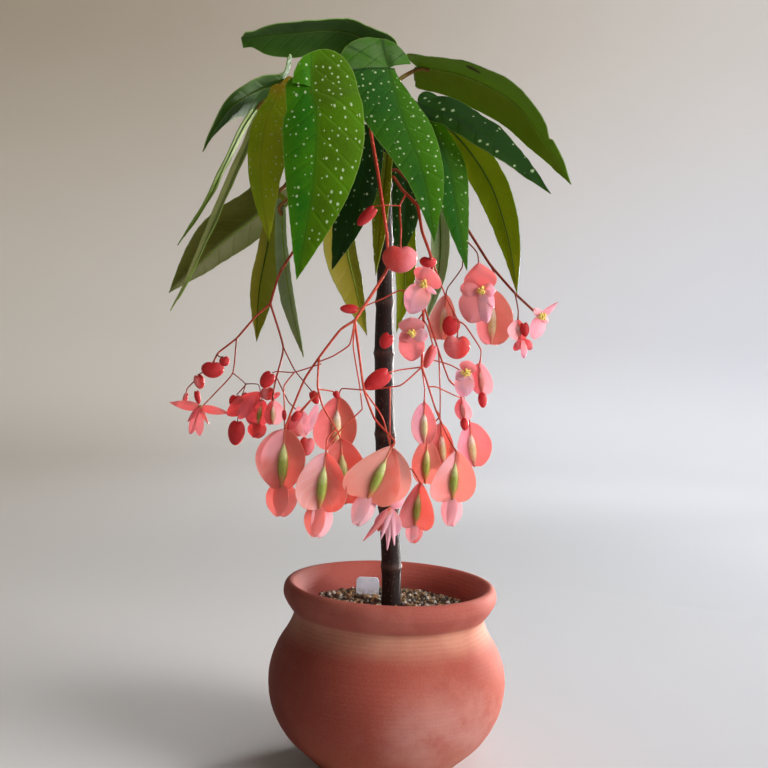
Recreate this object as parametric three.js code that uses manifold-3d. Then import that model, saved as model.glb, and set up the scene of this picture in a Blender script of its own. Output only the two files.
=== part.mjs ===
// Potted cane begonia: terracotta pot, potting mix, plant label, cane, leaves, flower stalks and flowers.
// Millimetres, +Z up, origin at the centre of the pot's flat foot, the viewer stands on the -Y side.
import * as THREE from 'three';
import { mergeVertices } from 'three/addons/utils/BufferGeometryUtils.js';
import Module from 'manifold-3d';

const wasm = await Module();
wasm.setup();

// Driving dimensions
const GAP = 0.3;
const POT_SEGMENTS = 36;
const POT_OUTSIDE = [
  [33, 0], [38, 1.5], [45, 8], [55, 18], [61.5, 30], [63.8, 42], [63.2, 52], [59.7, 62], [54, 71.5],
  [51.4, 79], [54, 83], [57, 88], [57.6, 91.5], [56.6, 95], [54.5, 96.3], [52, 95],
];
const POT_INSIDE = [
  [48.5, 90], [46.6, 84], [46, 78], [48.5, 71.5], [54, 62],
  [57.6, 52], [58, 42], [55.8, 30], [49.8, 18], [40, 7],
];
const DRAIN = { radius: 4.5, ring: 20, count: 3 };
const MIX = { floor: 7.4, side: 0.45, edge: 81.5, shoulder: 82.6, crown: 83.4 };
const LABEL = { width: 13, thickness: 0.7, bottom: 60, top: 93, corner: 2.5, x: -12.5, y: 22 };
const CANE_AXIS = [
  [60, 1], [84, 1], [108, 0], [167, -6], [222, -9], [260, -10], [315, -13], [361, -15], [386, -16],
];
const CANE_RADIUS = [[60, 5.4], [225, 5.3], [258, 4.5], [350, 4.2], [378, 3.6], [384, 2.6], [386, 1.2]];
const CANE_NODES = [104, 136, 176, 220, 248, 282, 312, 340, 364];
const NODE = { swell: 0.7, reach: 4 };
const CANE_SIDES = 10;
const BLADE = 0.8;
const CURL = -20;
const ROWS = { lobe: 3, side: 6, across: 2 };
const PETIOLE = 1.15;

// Side shoot, seen only from behind: a thinner branch that carries the leaves on the left
const SHOOT = {
  radius: 2.4,
  start: [318, 180],
  path: [[-29, 5, 321], [-44, 10, 331], [-57, 12, 345], [-66, 12, 358]],
};

// Leaves: heel behind the junction, then the midrib from the junction to the tip.
// face: way the upper side looks at the junction and at the tip.
// right, left: half width, share of it at the base, place of the widest point, taper, lobe, overlap.
// fold: lift of the right and left half in degrees. from: height and bearing on the stem. via: petiole.
const LEAVES = [
  {
    name: 'leaf_01', colour: '#6f8f45', heel: [-51, -45, 372],
    rib: [[-50, -52, 346], [-46, -57, 329], [-46, -63, 294], [-52, -60, 251]],
    face: [[0.05, -1, 0.25], [0, -1, 0]], fold: [4, 4],
    right: [16.5, 0.75, 0.22, 0.95, 0, 0], left: [23, 1, 0.25, 0.85, 22, 9],
    from: [352, -150], via: [[-34, -16, 357], [-45, -34, 354]],
  },
  {
    name: 'leaf_02', colour: '#5b7a43', heel: [-19, -12, 392],
    rib: [[-13, -32, 364], [-4, -45, 334], [7, -55, 303], [13, -58, 272]],
    face: [[0.15, -1, 0.35], [0.1, -1, 0]], fold: [4, 4],
    right: [25, 1, 0.05, 0.6, 26, 12], left: [13, 0.25, 0.42, 1, 0, 0],
    from: [358, -90], via: [[-14, -18, 360]],
  },
  {
    name: 'leaf_03', colour: '#4d6634', heel: [-13, 36, 397],
    rib: [[-20, 30, 400], [-41, 26, 405], [-67, 14, 398], [-95, 4, 390]],
    face: [[0, 0.45, 1], [0, 0.35, 1]], fold: [-6, -6],
    right: [16, 0.8, 0.4, 2.2, 6, 0], left: [15, 0.8, 0.4, 2.2, 6, 0],
    from: [374, 90], via: [[-17, 18, 384]],
  },
  {
    name: 'leaf_04', colour: '#5c6b2e', heel: [0, 16, 384],
    rib: [[4, 14, 382], [29, 8, 376], [55, -4, 359], [72, -12, 335], [86, -15, 313]],
    face: [[0.2, 0.45, 1], [0.7, 0.4, 0.6]], fold: [-6, -6],
    right: [17, 0.7, 0.45, 1.1, 5, 0], left: [17, 0.8, 0.35, 1, 6, 0],
    from: [368, 40], via: [[-5, 8, 374]],
  },
  {
    name: 'leaf_05', colour: '#3f5a38', heel: [0, -6, 373],
    rib: [[4, -12, 353], [21, -20, 345], [36, -30, 333], [51, -36, 320], [71, -40, 302]],
    face: [[0.1, -1, 0.4], [0.2, -1, 0.4]], fold: [4, 4],
    right: [8, 0.8, 0.3, 1, 4, 0], left: [12.5, 1, 0.3, 1, 8, 0],
    from: [347, -45], via: [[-4, -7, 350]],
  },
  {
    name: 'leaf_06', colour: '#6a6a34', heel: [12, 18, 358],
    rib: [[18, 20, 354], [35, 22, 338], [49, 22, 317], [59, 18, 287], [64, 12, 257]],
    face: [[0.3, 0.9, 0.4], [0.3, 0.9, 0.3]], fold: [4, 4],
    right: [10, 0.8, 0.4, 1, 5, 0], left: [10, 0.8, 0.3, 1, 5, 0],
    from: [350, 20], via: [[3, 7, 355]],
  },
  {
    name: 'leaf_07', colour: '#4f7038', heel: [7, -10, 350],
    rib: [[10, -14, 342], [20, -28, 317], [25, -36, 290], [31, -38, 262]],
    face: [[0.1, -1, 0.2], [0.1, -1, 0.1]], fold: [4, 4],
    right: [10, 0.8, 0.3, 1, 5, 0], left: [9, 0.8, 0.3, 1, 5, 0],
    from: [331, -40], via: [[-1, -8, 337]],
  },
  {
    name: 'leaf_08', colour: '#7b7f3c', heel: [-71, -24, 360],
    rib: [[-68, -28, 353], [-73, -40, 330], [-73, -48, 301], [-68, -46, 271]],
    face: [[-0.3, -1, 0.3], [-0.2, -1, 0]], fold: [4, 4],
    right: [8, 0.7, 0.35, 1, 4, 0], left: [14, 0.6, 0.35, 1, 5, 0],
    from: [0.86, -90], via: [[-65, -6, 350], [-67, -20, 351]],
  },
  {
    name: 'leaf_09', colour: '#3c4a30', heel: [-63, -4, 383],
    rib: [[-69, -8, 364], [-82, -16, 355], [-93, -26, 343], [-101, -32, 328], [-105, -34, 317]],
    face: [[-0.4, 0.3, 1], [-0.9, 0.2, 0.5]], fold: [4, 4],
    right: [13, 0.6, 0.4, 1, 5, 0], left: [13, 0.6, 0.4, 1, 14, 0],
    from: [0.97, -60], via: [[-66, 1, 360]],
  },
  {
    name: 'leaf_10', colour: '#55703a', heel: [-80, 10, 364],
    rib: [[-83, 8, 358], [-92, 4, 341], [-100, 0, 320], [-110, 0, 297], [-124, 0, 274]],
    face: [[-1, -0.05, 0.55], [-1, -0.05, 0.55]], fold: [8, 8],
    right: [8, 0.8, 0.3, 1, 5, 0], left: [8, 0.8, 0.3, 1, 5, 0],
    from: [0.97, 170], via: [[-75, 11, 358]],
  },
  {
    name: 'leaf_11', colour: '#4c6437', heel: [-76, -14, 352],
    rib: [[-79, -16, 344], [-87, -26, 316], [-99, -32, 280], [-110, -32, 252], [-119, -30, 236]],
    face: [[-1, -0.5, 0.3], [-1, -0.5, 0.3]], fold: [14, 14],
    right: [11, 0.8, 0.3, 1, 5, 0], left: [11, 0.8, 0.3, 1, 5, 0],
    from: [0.66, -120], via: [[-65, -2, 337]],
  },
  {
    name: 'leaf_12', colour: '#4a4f2e', heel: [-72, 52, 325],
    rib: [[-77, 50, 316], [-91, 56, 302], [-110, 60, 287], [-125, 60, 272], [-141, 54, 253]],
    face: [[-0.4, 0.75, 0.5], [-0.4, 0.75, 0.5]], fold: [-30, -4],
    right: [12, 0.8, 0.3, 1, 5, 0], left: [22, 0.8, 0.38, 1, 5, 0],
    from: [0.62, 100], via: [[-61, 32, 330]],
  },
  {
    name: 'leaf_13', colour: '#6a5b3a', heel: [-75, 34, 317],
    rib: [[-77, 38, 312], [-81, 48, 287], [-85, 46, 256], [-84, 36, 225]],
    face: [[0.2, 0.9, 0.1], [0.1, 0.9, 0.1]], fold: [-14, -6],
    right: [13, 0.7, 0.5, 1, 3, 0], left: [6, 0.7, 0.5, 1, 3, 0],
    from: [0.42, 120], via: [[-60, 24, 321]],
  },
  {
    name: 'leaf_14', colour: '#5f7452', heel: [-70, 22, 309],
    rib: [[-71, 26, 304], [-70, 32, 282], [-65, 36, 250], [-56, 36, 217]],
    face: [[0.3, 0.9, 0.1], [0.3, 0.9, 0.1]], fold: [-30, -10],
    right: [5, 0.7, 0.5, 1, 3, 0], left: [6, 0.7, 0.5, 1, 3, 0],
    from: [0.25, 135], via: [[-53, 17, 314]],
  },
  {
    name: 'leaf_15', colour: '#39522f', heel: [-20, -10, 344],
    rib: [[-21, -12, 338], [-24, -17, 315], [-30, -22, 287], [-38, -18, 262]],
    face: [[-0.1, -1, 0.1], [-0.1, -1, 0.1]], fold: [4, 4],
    right: [12, 0.8, 0.4, 1, 3, 0], left: [10, 0.8, 0.4, 1, 3, 0],
    from: [338, -110], via: [],
  },
  {
    name: 'leaf_16', colour: '#6d7a34', heel: [-13, -7, 330],
    rib: [[-12, -9, 325], [-13, -14, 305], [-14, -19, 281], [-15, -18, 260]],
    face: [[-0.3, -1, 0.1], [-0.3, -1, 0.1]], fold: [30, 30],
    right: [5, 0.8, 0.4, 1, 3, 0], left: [5, 0.8, 0.4, 1, 3, 0],
    from: [325, -90], via: [],
  },
  {
    name: 'leaf_17', colour: '#6b6f3a', heel: [-31, 54, 317],
    rib: [[-33, 58, 312], [-35, 66, 289], [-28, 70, 261], [-20, 68, 233]],
    face: [[0, 1, 0.1], [0, 1, 0.1]], fold: [-10, -10],
    right: [6, 0.8, 0.4, 1, 3, 0], left: [15, 0.9, 0.3, 1, 3, 0],
    from: [328, 110], via: [[-26, 32, 329]],
  },
  {
    name: 'leaf_18', colour: '#5a7050', heel: [0, 46, 320],
    rib: [[0, 50, 315], [1, 60, 292], [2, 66, 262], [-2, 64, 235]],
    face: [[0, 1, 0.1], [0, 1, 0.1]], fold: [-10, -10],
    right: [7, 0.8, 0.4, 1, 3, 0], left: [7, 0.8, 0.4, 1, 3, 0],
    from: [320, 100], via: [[-15, 15, 322], [-8, 33, 325]],
  },
  {
    name: 'leaf_19', colour: '#577048', heel: [17, 40, 325],
    rib: [[18, 44, 320], [22, 52, 298], [22, 56, 271], [16, 54, 243]],
    face: [[0.2, 1, 0.1], [0.2, 1, 0.1]], fold: [-10, -10],
    right: [6, 0.8, 0.4, 1, 3, 0], left: [6, 0.8, 0.4, 1, 3, 0],
    from: [354, 70], via: [[-4, 20, 354], [10, 34, 341]],
  },
  {
    name: 'leaf_20', colour: '#2f4429', heel: [-4, 12, 339],
    rib: [[-3, 13, 334], [-1, 14, 318], [-1, 14, 296], [-4, 12, 271]],
    face: [[0.1, -1, 0.1], [0.1, -1, 0.1]], fold: [10, 10],
    right: [9, 0.8, 0.4, 1, 3, 0], left: [9, 0.8, 0.4, 1, 3, 0],
    from: [340, 60], via: [[-6, 16, 342]],
  },
];

// Winged flowers: top, bottom, spread of the wings, width of the petals under them
const WINGED = [
  ['flower_01', [-57, -38, 179], [-57, -40, 147], 25, 14],
  ['flower_02', [-35, -50, 169], [-37, -52, 140], 26, 14],
  ['flower_03', [-29, -32, 175], [-25, -34, 141], 21, 0],
  ['flower_04', [-3, -48, 173], [-14, -50, 146], 30, 13],
  ['flower_05', [16, -14, 176], [16, -14, 151], 15, 0],
  ['flower_06', [30, -32, 171], [29, -34, 145], 24, 12],
  ['flower_07', [39, -2, 185], [43, -2, 160], 20, 0],
  ['flower_08', [23, -8, 184], [26, -8, 160], 15, 0],
  ['flower_09', [13, -20, 153], [11, -22, 129], 17, 9],
  ['flower_10', [-32, -18, 196], [-32, -18, 167], 24, 0],
  ['flower_11', [13, -24, 195], [14, -24, 173], 13, 0],
  ['flower_12', [23, -6, 253], [22, -6, 228], 15, 0],
  ['flower_13', [49, 4, 258], [50, 4, 227], 20, 0],
  ['flower_14', [-76, 14, 194], [-79, 14, 174], 14, 0],
  ['flower_15', [-67, 6, 193], [-67, 6, 177], 11, 0],
];
// Closed buds: top, bottom, width, thickness
const BUDS = [
  ['bud_01', [-3, -42, 273], [-3, -42, 259], 18, 7],
  ['bud_02', [29, -20, 231], [29, -20, 217], 14, 6],
  ['bud_03', [15, -29, 226], [16, -29, 214], 9, 5],
  ['bud_04', [62, -8, 240], [65, -8, 221], 12, 6],
  ['bud_05', [42, -14, 217], [45, -14, 193], 13, 5],
  ['bud_06', [33, -14, 198], [35, -14, 182], 9, 5],
  ['bud_07', [-105, 16, 212], [-105, 16, 202], 13, 6],
  ['bud_08', [-89, 12, 179], [-90, 12, 165], 10, 6],
];
// Open flowers, facing the viewer: centre, tip of the upper petal, tip of the lower petal
const OPEN = [
  ['open_01', [10, -20, 256], [13, -24, 264], [6, -22, 243]],
  ['open_02', [5, -24, 230], [4, -26, 237], [6, -26, 217]],
  ['open_03', [41, -14, 255], [41, -12, 270], [38, -18, 238]],
  ['open_04', [34, -22, 211], [32, -22, 217], [33, -24, 201]],
  ['open_05', [74, -10, 243], [82, -12, 252], [71, -12, 232]],
  ['open_06', [-2, -40, 142], [3, -44, 136], [-2, -44, 121]],
];
// Young flower seen end on: centre and the tips around it
const STAR = [
  'open_07', [-109, 14, 187],
  [[-124, 14, 189], [-99, 14, 184], [-114, 13, 174], [-108, 13, 173], [-93, 13, 181]],
];

// Flower stalks. start: height and bearing on the cane. Each branch has a radius, its points and,
// at the end, the flower that hangs from it. Small buds are part of the stalk.
const STALKS = {
  stalk_centre: {
    start: [350, -115],
    branches: [
      [1.3, [
        [-22, -14, 347], [-21, -24, 335], [-17, -27, 316], [-14, -29, 301], [-10, -32, 279],
        [-9, -36, 262], [-16, -42, 248], [-24, -46, 234],
      ]],
      [1, [
        [-24, -46, 234], [-31, -46, 229], [-41, -44, 215], [-48, -40, 204], [-54, -38, 188],
      ], 'flower_01'],
      [0.9, [[-41, -44, 215], [-41, -44, 201], [-38, -44, 191], [-31, -42, 180]], 'flower_03'],
      [0.8, [[-31, -42, 180], [-35, -48, 175]], 'flower_02'],
      [1, [[-24, -46, 234], [-21, -44, 217], [-18, -43, 200], [-12, -46, 186]], 'flower_04'],
      [0.8, [[-18, -43, 200], [-8, -38, 186], [-2, -33, 165], [-2, -32, 150]], 'open_06'],
      [0.8, [[-2, -33, 165], [8, -27, 160]], 'flower_09'],
      [0.8, [[-24, -46, 233], [-26, -47, 222], [-34, -46, 216], [-41, -44, 213]]],
      [0.8, [[-40, -44, 198], [-45, -44, 193], [-50, -44, 187]]],
    ],
    buds: [[[-49, -44, 188], [-53, -44, 183], 4, 3]],
  },
  stalk_upper: {
    start: [315, -45],
    branches: [
      [1.2, [
        [-3, -12, 307], [5, -22, 297], [8, -26, 283], [13, -24, 271], [15, -14, 260],
        [11, -14, 246], [11, -18, 238], [11, -24, 213],
      ]],
      [0.9, [[-1, -15, 304], [-4, -24, 296], [-3, -32, 283]], 'bud_01'],
      [0.7, [[-4, -24, 296], [-11, -34, 294], [-17, -35, 293]]],
      [0.8, [[13, -24, 271], [19, -14, 259], [23, -18, 249], [29, -20, 238]], 'bud_02'],
      [0.8, [[29, -20, 238], [33, -18, 236], [42, -15, 224]], 'bud_05'],
      [0.9, [[11, -14, 246], [20, -14, 222], [26, -16, 207], [32, -15, 202]], 'bud_06'],
      [0.8, [[11, -24, 213], [0, -32, 211], [-7, -36, 209]]],
      [0.8, [[11, -24, 213], [0, -30, 203], [-19, -26, 200], [-30, -20, 200]], 'flower_10'],
      [0.8, [[11, -24, 213], [13, -24, 202]], 'flower_11'],
      [0.9, [[11, -24, 213], [14, -27, 205], [19, -30, 191], [26, -32, 177]], 'flower_06'],
      [0.8, [[19, -30, 191], [24, -25, 188], [20, -16, 182]], 'flower_05'],
      [0.8, [[11, -24, 213], [16, -20, 217], [26, -17, 215]], 'open_04'],
      [0.8, [[15, -14, 260], [12, -13, 258]], 'open_01'],
      [0.8, [[11, -15, 242], [7, -16, 236]], 'open_02'],
      [0.8, [[11, -18, 238], [13, -25, 234]], 'bud_03'],
      [0.8, [[20, -14, 222], [22, -10, 200]], 'flower_08'],
      [0.8, [[26, -16, 207], [34, -8, 200]], 'flower_07'],
      [0.8, [[11, -14, 246], [-1, -18, 253], [-11, -18, 248], [-24, -18, 242]]],
    ],
    buds: [
      [[-16, -35, 293], [-25, -35, 283], 6, 4],
      [[-5, -36, 210], [-18, -36, 201], 9, 5],
      [[-23, -18, 242], [-33, -18, 242], 5, 3],
    ],
  },
  stalk_right: {
    start: [320, 0],
    branches: [
      [1.2, [
        [10, 0, 306], [23, -4, 298], [33, -5, 289], [46, -7, 270], [60, -8, 255], [71, -6, 246],
      ], 'open_05'],
      [0.8, [[60, -8, 255], [62, -8, 246]], 'bud_04'],
      [0.8, [[23, -4, 298], [33, -8, 282], [39, -8, 275]], 'open_03'],
      [0.8, [[23, -4, 298], [30, -8, 282], [31, -8, 268], [24, -6, 257]], 'flower_12'],
      [0.8, [[46, -7, 270], [50, 2, 265]], 'flower_13'],
    ],
    buds: [],
  },
  stalk_left: {
    start: [310, 170],
    branches: [
      [1.2, [[-37, 14, 299], [-60, 22, 281], [-70, 28, 267], [-73, 30, 260], [-76, 30, 247]]],
      [1, [[-76, 30, 247], [-84, 28, 239], [-94, 26, 226], [-103, 20, 217]], 'bud_07'],
      [0.8, [[-94, 26, 226], [-95, 24, 206], [-103, 20, 195]], 'open_07'],
      [0.7, [[-95, 24, 206], [-87, 20, 200], [-88, 16, 193]], 'bud_08'],
      [0.7, [[-87, 20, 200], [-79, 16, 200]], 'flower_14'],
      [1, [[-76, 30, 247], [-67, 26, 222], [-69, 16, 204]], 'flower_15'],
      [0.8, [[-67, 26, 222], [-59, 18, 209], [-47, 4, 197]]],
    ],
    buds: [[[-48, 5, 198], [-44, 1, 191], 5, 4]],
  },
};

const COLOURS = {
  pot: '#a86a4c', mix: '#4b3b2e', label: '#e8e6de', cane: '#3d2f28', shoot: '#5b6038',
  stalk: '#b5563f', winged: '#dd5567', bud: '#d9475a', open: '#e2707f',
};

// Helpers
const vec = (p) => new THREE.Vector3(...p);
const radians = THREE.MathUtils.degToRad;
const table = (rows, z, column = 1) => {
  const last = rows.length - 1;
  if (z <= rows[0][0]) return rows[0][column];
  if (z >= rows[last][0]) return rows[last][column];
  const i = rows.findIndex((row) => row[0] > z) - 1;
  const share = (z - rows[i][0]) / (rows[i + 1][0] - rows[i][0]);
  return rows[i][column] + share * (rows[i + 1][column] - rows[i][column]);
};

// Merges equal corners and drops triangles that have no area
const weld = (geometry) => {
  geometry.deleteAttribute('normal');
  geometry.deleteAttribute('uv');
  const merged = mergeVertices(geometry, 1e-3);
  const old = merged.index.array;
  const index = [];
  for (let i = 0; i < old.length; i += 3) {
    const [a, b, c] = [old[i], old[i + 1], old[i + 2]];
    if (a !== b && b !== c && c !== a) index.push(a, b, c);
  }
  merged.setIndex(index);
  return merged;
};
const solid = (geometry) => {
  const merged = weld(geometry);
  const vertProperties = new Float32Array(merged.attributes.position.array);
  const triVerts = new Uint32Array(merged.index.array);
  return new wasm.Manifold(new wasm.Mesh({ numProp: 3, vertProperties, triVerts }));
};
const union = (parts) => parts.reduce((all, part) => all.add(part));

const group = new THREE.Group();
group.name = 'potted_cane_begonia';
const add = (name, body, color, roughness = 0.7) => {
  const mesh = body.getMesh();
  const geometry = new THREE.BufferGeometry();
  geometry.setAttribute('position', new THREE.BufferAttribute(new Float32Array(mesh.vertProperties), 3));
  geometry.setIndex(Array.from(mesh.triVerts));
  geometry.computeVertexNormals();
  const piece = new THREE.Mesh(geometry, new THREE.MeshStandardMaterial({ color, roughness, metalness: 0 }));
  piece.name = name;
  group.add(piece);
};

// Turned solid from [radius, height] points, standing on +Z
const turned = (profile, segments) => {
  const lathe = new THREE.LatheGeometry(profile.map(([r, z]) => new THREE.Vector2(r, z)), segments);
  return lathe.rotateX(Math.PI / 2);
};
const roundTube = (points, radius, sides, steps) => {
  const shape = new THREE.Shape();
  for (let i = 0; i < sides; i++) {
    const turn = (2 * Math.PI * i) / sides;
    if (i === 0) shape.moveTo(radius, 0);
    else shape.lineTo(radius * Math.cos(turn), radius * Math.sin(turn));
  }
  const path = new THREE.CatmullRomCurve3(points.map(vec), false, 'centripetal');
  return solid(new THREE.ExtrudeGeometry(shape, { extrudePath: path, steps, bevelEnabled: false }));
};

// Pot with its drain holes
const potProfile = [[0, 0], ...POT_OUTSIDE, ...POT_INSIDE, [0, 7]];
let pot = solid(turned(potProfile, POT_SEGMENTS));
for (let i = 0; i < DRAIN.count; i++) {
  const turn = (2 * Math.PI * (i + 0.5)) / DRAIN.count;
  const hole = new THREE.CylinderGeometry(DRAIN.radius, DRAIN.radius, 20, 16).rotateX(Math.PI / 2);
  hole.translate(DRAIN.ring * Math.cos(turn), DRAIN.ring * Math.sin(turn), 5);
  pot = pot.subtract(solid(hole));
}
add('pot', pot, COLOURS.pot, 0.85);

// Cane: rings along its leaning axis, thicker at each node
const caneRows = () => {
  const heights = new Set([...CANE_AXIS, ...CANE_RADIUS].map((row) => row[0]));
  for (const z of CANE_NODES) [z - NODE.reach, z, z + NODE.reach].forEach((height) => heights.add(height));
  return [...heights].sort((a, b) => a - b);
};
const caneRadius = (z) => {
  const near = Math.min(...CANE_NODES.map((node) => Math.abs(node - z)));
  return table(CANE_RADIUS, z) + NODE.swell * Math.max(1 - near / NODE.reach, 0);
};
const cane = (grow, drop) => {
  const rows = caneRows().map((z) => [caneRadius(z) + grow, z]);
  rows[0][1] -= drop;
  const profile = [[0, rows[0][1]], ...rows, [0, rows[rows.length - 1][1] + 0.5]];
  const geometry = turned(profile, CANE_SIDES);
  const place = geometry.attributes.position;
  for (let i = 0; i < place.count; i++) place.setX(i, place.getX(i) + table(CANE_AXIS, place.getZ(i)));
  return solid(geometry);
};

// Label: thin plate with rounded upper corners, pushed into the mix
const labelPlate = (grow) => {
  const half = LABEL.width / 2 + grow;
  const tall = LABEL.top - LABEL.bottom + grow;
  const corner = LABEL.corner;
  const shape = new THREE.Shape();
  shape.moveTo(-half, -grow);
  shape.lineTo(half, -grow);
  shape.lineTo(half, tall - corner);
  shape.absarc(half - corner, tall - corner, corner, 0, Math.PI / 2);
  shape.absarc(corner - half, tall - corner, corner, Math.PI / 2, Math.PI);
  const depth = LABEL.thickness + 2 * grow;
  const plate = new THREE.ExtrudeGeometry(shape, { depth, bevelEnabled: false, curveSegments: 4 });
  plate.translate(0, 0, -depth / 2).rotateX(Math.PI / 2);
  return solid(plate.translate(LABEL.x, LABEL.y, LABEL.bottom));
};

// Mix: fills the pot, with a socket for the cane and a slot for the label
const insideRows = POT_INSIDE.map(([r, z]) => [z, r]).reverse();
const mixSide = (z) => [table(insideRows, z) - MIX.side, z];
const mixProfile = [
  [0, MIX.floor], mixSide(MIX.floor), mixSide(18), mixSide(30), mixSide(42), mixSide(52), mixSide(62),
  mixSide(71.5), mixSide(78), mixSide(MIX.edge), [38, MIX.shoulder], [18, MIX.crown], [0, MIX.crown],
];
const mix = solid(turned(mixProfile, POT_SEGMENTS)).subtract(cane(GAP, GAP)).subtract(labelPlate(GAP));
add('potting_mix', mix, COLOURS.mix, 0.95);
add('plant_label', labelPlate(0), COLOURS.label, 0.45);
add('cane', cane(0, 0), COLOURS.cane, 0.5);

// Two points square to a stem: just outside its surface at a bearing, and a little further out
const leave = (centre, along, radius, bearing) => {
  const out = new THREE.Vector3(Math.cos(radians(bearing)), Math.sin(radians(bearing)), 0);
  out.addScaledVector(along, -out.dot(along)).normalize();
  return [radius + GAP + 0.05, radius + 3].map((r) => centre.clone().addScaledVector(out, r).toArray());
};
const UP = new THREE.Vector3(0, 0, 1);
const fromCane = ([z, bearing]) => {
  const radius = Math.max(caneRadius(z - PETIOLE), caneRadius(z), caneRadius(z + PETIOLE));
  return leave(new THREE.Vector3(table(CANE_AXIS, z), 0, z), UP, radius, bearing);
};
const shootPoints = [...fromCane(SHOOT.start), ...SHOOT.path];
const shootCurve = new THREE.CatmullRomCurve3(shootPoints.map(vec), false, 'centripetal');
const fromShoot = ([share, bearing]) => {
  return leave(shootCurve.getPointAt(share), shootCurve.getTangentAt(share), SHOOT.radius, bearing);
};
add('side_shoot', roundTube(shootPoints, SHOOT.radius, 10, 12), COLOURS.shoot);

// Midrib of a leaf: a point and a frame for each distance from the junction, negative behind it
const midrib = (leaf) => {
  const curve = new THREE.CatmullRomCurve3([leaf.heel, ...leaf.rib].map(vec), false, 'catmullrom', 0.5);
  const steps = 60 * leaf.rib.length;
  const lengths = curve.getLengths(steps);
  const joint = lengths[60] / lengths[steps];
  const front = lengths[steps] - lengths[60];
  const back = lengths[60];
  const at = (y) => {
    const t = y >= 0 ? Math.min(y / front, 1) : Math.max(y / back, -1);
    const u = t >= 0 ? joint + (1 - joint) * t : joint * (1 + t);
    const along = curve.getTangentAt(u);
    const face = vec(leaf.face[0]).lerp(vec(leaf.face[1]), Math.max(t, 0));
    const side = along.clone().cross(face).normalize();
    return { point: curve.getPointAt(u), along, side, up: side.clone().cross(along) };
  };
  return { front, at };
};
// Outline of one half: where each row leaves the midrib and where it ends
const halfRows = ([width, base, wide, taper, lobe, over], front) => {
  const rows = [];
  const outer = width * base;
  for (let k = over > 0 ? 0 : 1; lobe > 0 && k < ROWS.lobe; k++) {
    const turn = 0.98 * Math.PI * (1 - k / ROWS.lobe);
    const x = (outer - over) / 2 + ((outer + over) / 2) * Math.cos(turn);
    rows.push({ root: 0, x, y: -lobe * Math.sin(turn) });
  }
  for (let k = 0; k <= ROWS.side; k++) {
    const t = k / ROWS.side;
    const rise = base + ((1 - base) * (1 - Math.cos(Math.PI * Math.min(t / wide, 1)))) / 2;
    const fall = Math.cos((Math.PI / 2) * Math.max((t - wide) / (1 - wide), 0) ** taper);
    rows.push({ root: front * t ** 1.25, x: width * Math.max(t > wide ? fall : rise, 0), y: t * front });
  }
  return rows;
};
const leafSheet = (leaf) => {
  const { front, at } = midrib(leaf);
  const points = [];
  const index = [];
  for (const [sign, key, lift] of [[1, 'right', leaf.fold[0]], [-1, 'left', leaf.fold[1]]]) {
    const width = leaf[key][0];
    const rows = halfRows(leaf[key], front);
    const first = points.length / 3;
    for (const row of rows) {
      for (let j = 0; j <= ROWS.across; j++) {
        const v = j / ROWS.across;
        const x = row.x * v;
        const { point, side, up } = at(row.root + (row.y - row.root) * v);
        const bend = radians(lift) + (radians(CURL) * Math.min(Math.abs(x) / width, 1.2)) / 2;
        point.addScaledVector(side, sign * x * Math.cos(bend));
        point.addScaledVector(up, Math.abs(x) * Math.sin(bend));
        points.push(point.x, point.y, point.z);
      }
    }
    const across = ROWS.across + 1;
    for (let k = 0; k + 1 < rows.length; k++) {
      for (let j = 0; j < ROWS.across; j++) {
        const a = first + k * across + j;
        const [b, c, d] = [a + 1, a + across + 1, a + across];
        if (sign > 0) index.push(a, b, c, a, c, d);
        else index.push(a, c, b, a, d, c);
      }
    }
  }
  const sheet = new THREE.BufferGeometry();
  sheet.setAttribute('position', new THREE.BufferAttribute(new Float32Array(points), 3));
  sheet.setIndex(index);
  return weld(sheet);
};
// Gives a sheet a thickness: both faces and a wall along each open edge
const thicken = (sheet, thickness) => {
  sheet.computeVertexNormals();
  const place = sheet.attributes.position;
  const normal = sheet.attributes.normal;
  const index = Array.from(sheet.index.array);
  const count = place.count;
  const points = [];
  for (const way of [1, -1]) {
    for (let i = 0; i < count; i++) {
      const p = new THREE.Vector3().fromBufferAttribute(place, i);
      p.addScaledVector(new THREE.Vector3().fromBufferAttribute(normal, i), (way * thickness) / 2);
      points.push(p.x, p.y, p.z);
    }
  }
  const edges = new Set();
  const faces = [];
  for (let i = 0; i < index.length; i += 3) {
    const [a, b, c] = index.slice(i, i + 3);
    faces.push(a, b, c, a + count, c + count, b + count);
    edges.add(`${a} ${b}`).add(`${b} ${c}`).add(`${c} ${a}`);
  }
  for (const edge of edges) {
    const [a, b] = edge.split(' ').map(Number);
    if (!edges.has(`${b} ${a}`)) faces.push(b, a, a + count, b, a + count, b + count);
  }
  const body = new THREE.BufferGeometry();
  body.setAttribute('position', new THREE.BufferAttribute(new Float32Array(points), 3));
  body.setIndex(faces);
  return body;
};
// The petiole leaves the stem, comes up behind the blade and runs a little way along the midrib
const petiole = (leaf) => {
  const start = leaf.from[0] > 1 ? fromCane(leaf.from) : fromShoot(leaf.from);
  const { at } = midrib(leaf);
  const end = at(5);
  const low = at(0);
  const under = end.point.clone().addScaledVector(end.up, -1).toArray();
  const joint = low.point.clone().addScaledVector(low.up, -1.6).toArray();
  const points = [...start, ...leaf.via, joint, under];
  return roundTube(points, PETIOLE, 6, 2 * (points.length - 1));
};
for (const leaf of LEAVES) {
  const blade = solid(thicken(leafSheet(leaf), BLADE));
  add(leaf.name, union([blade, petiole(leaf)]), leaf.colour, 0.45);
}

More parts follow.
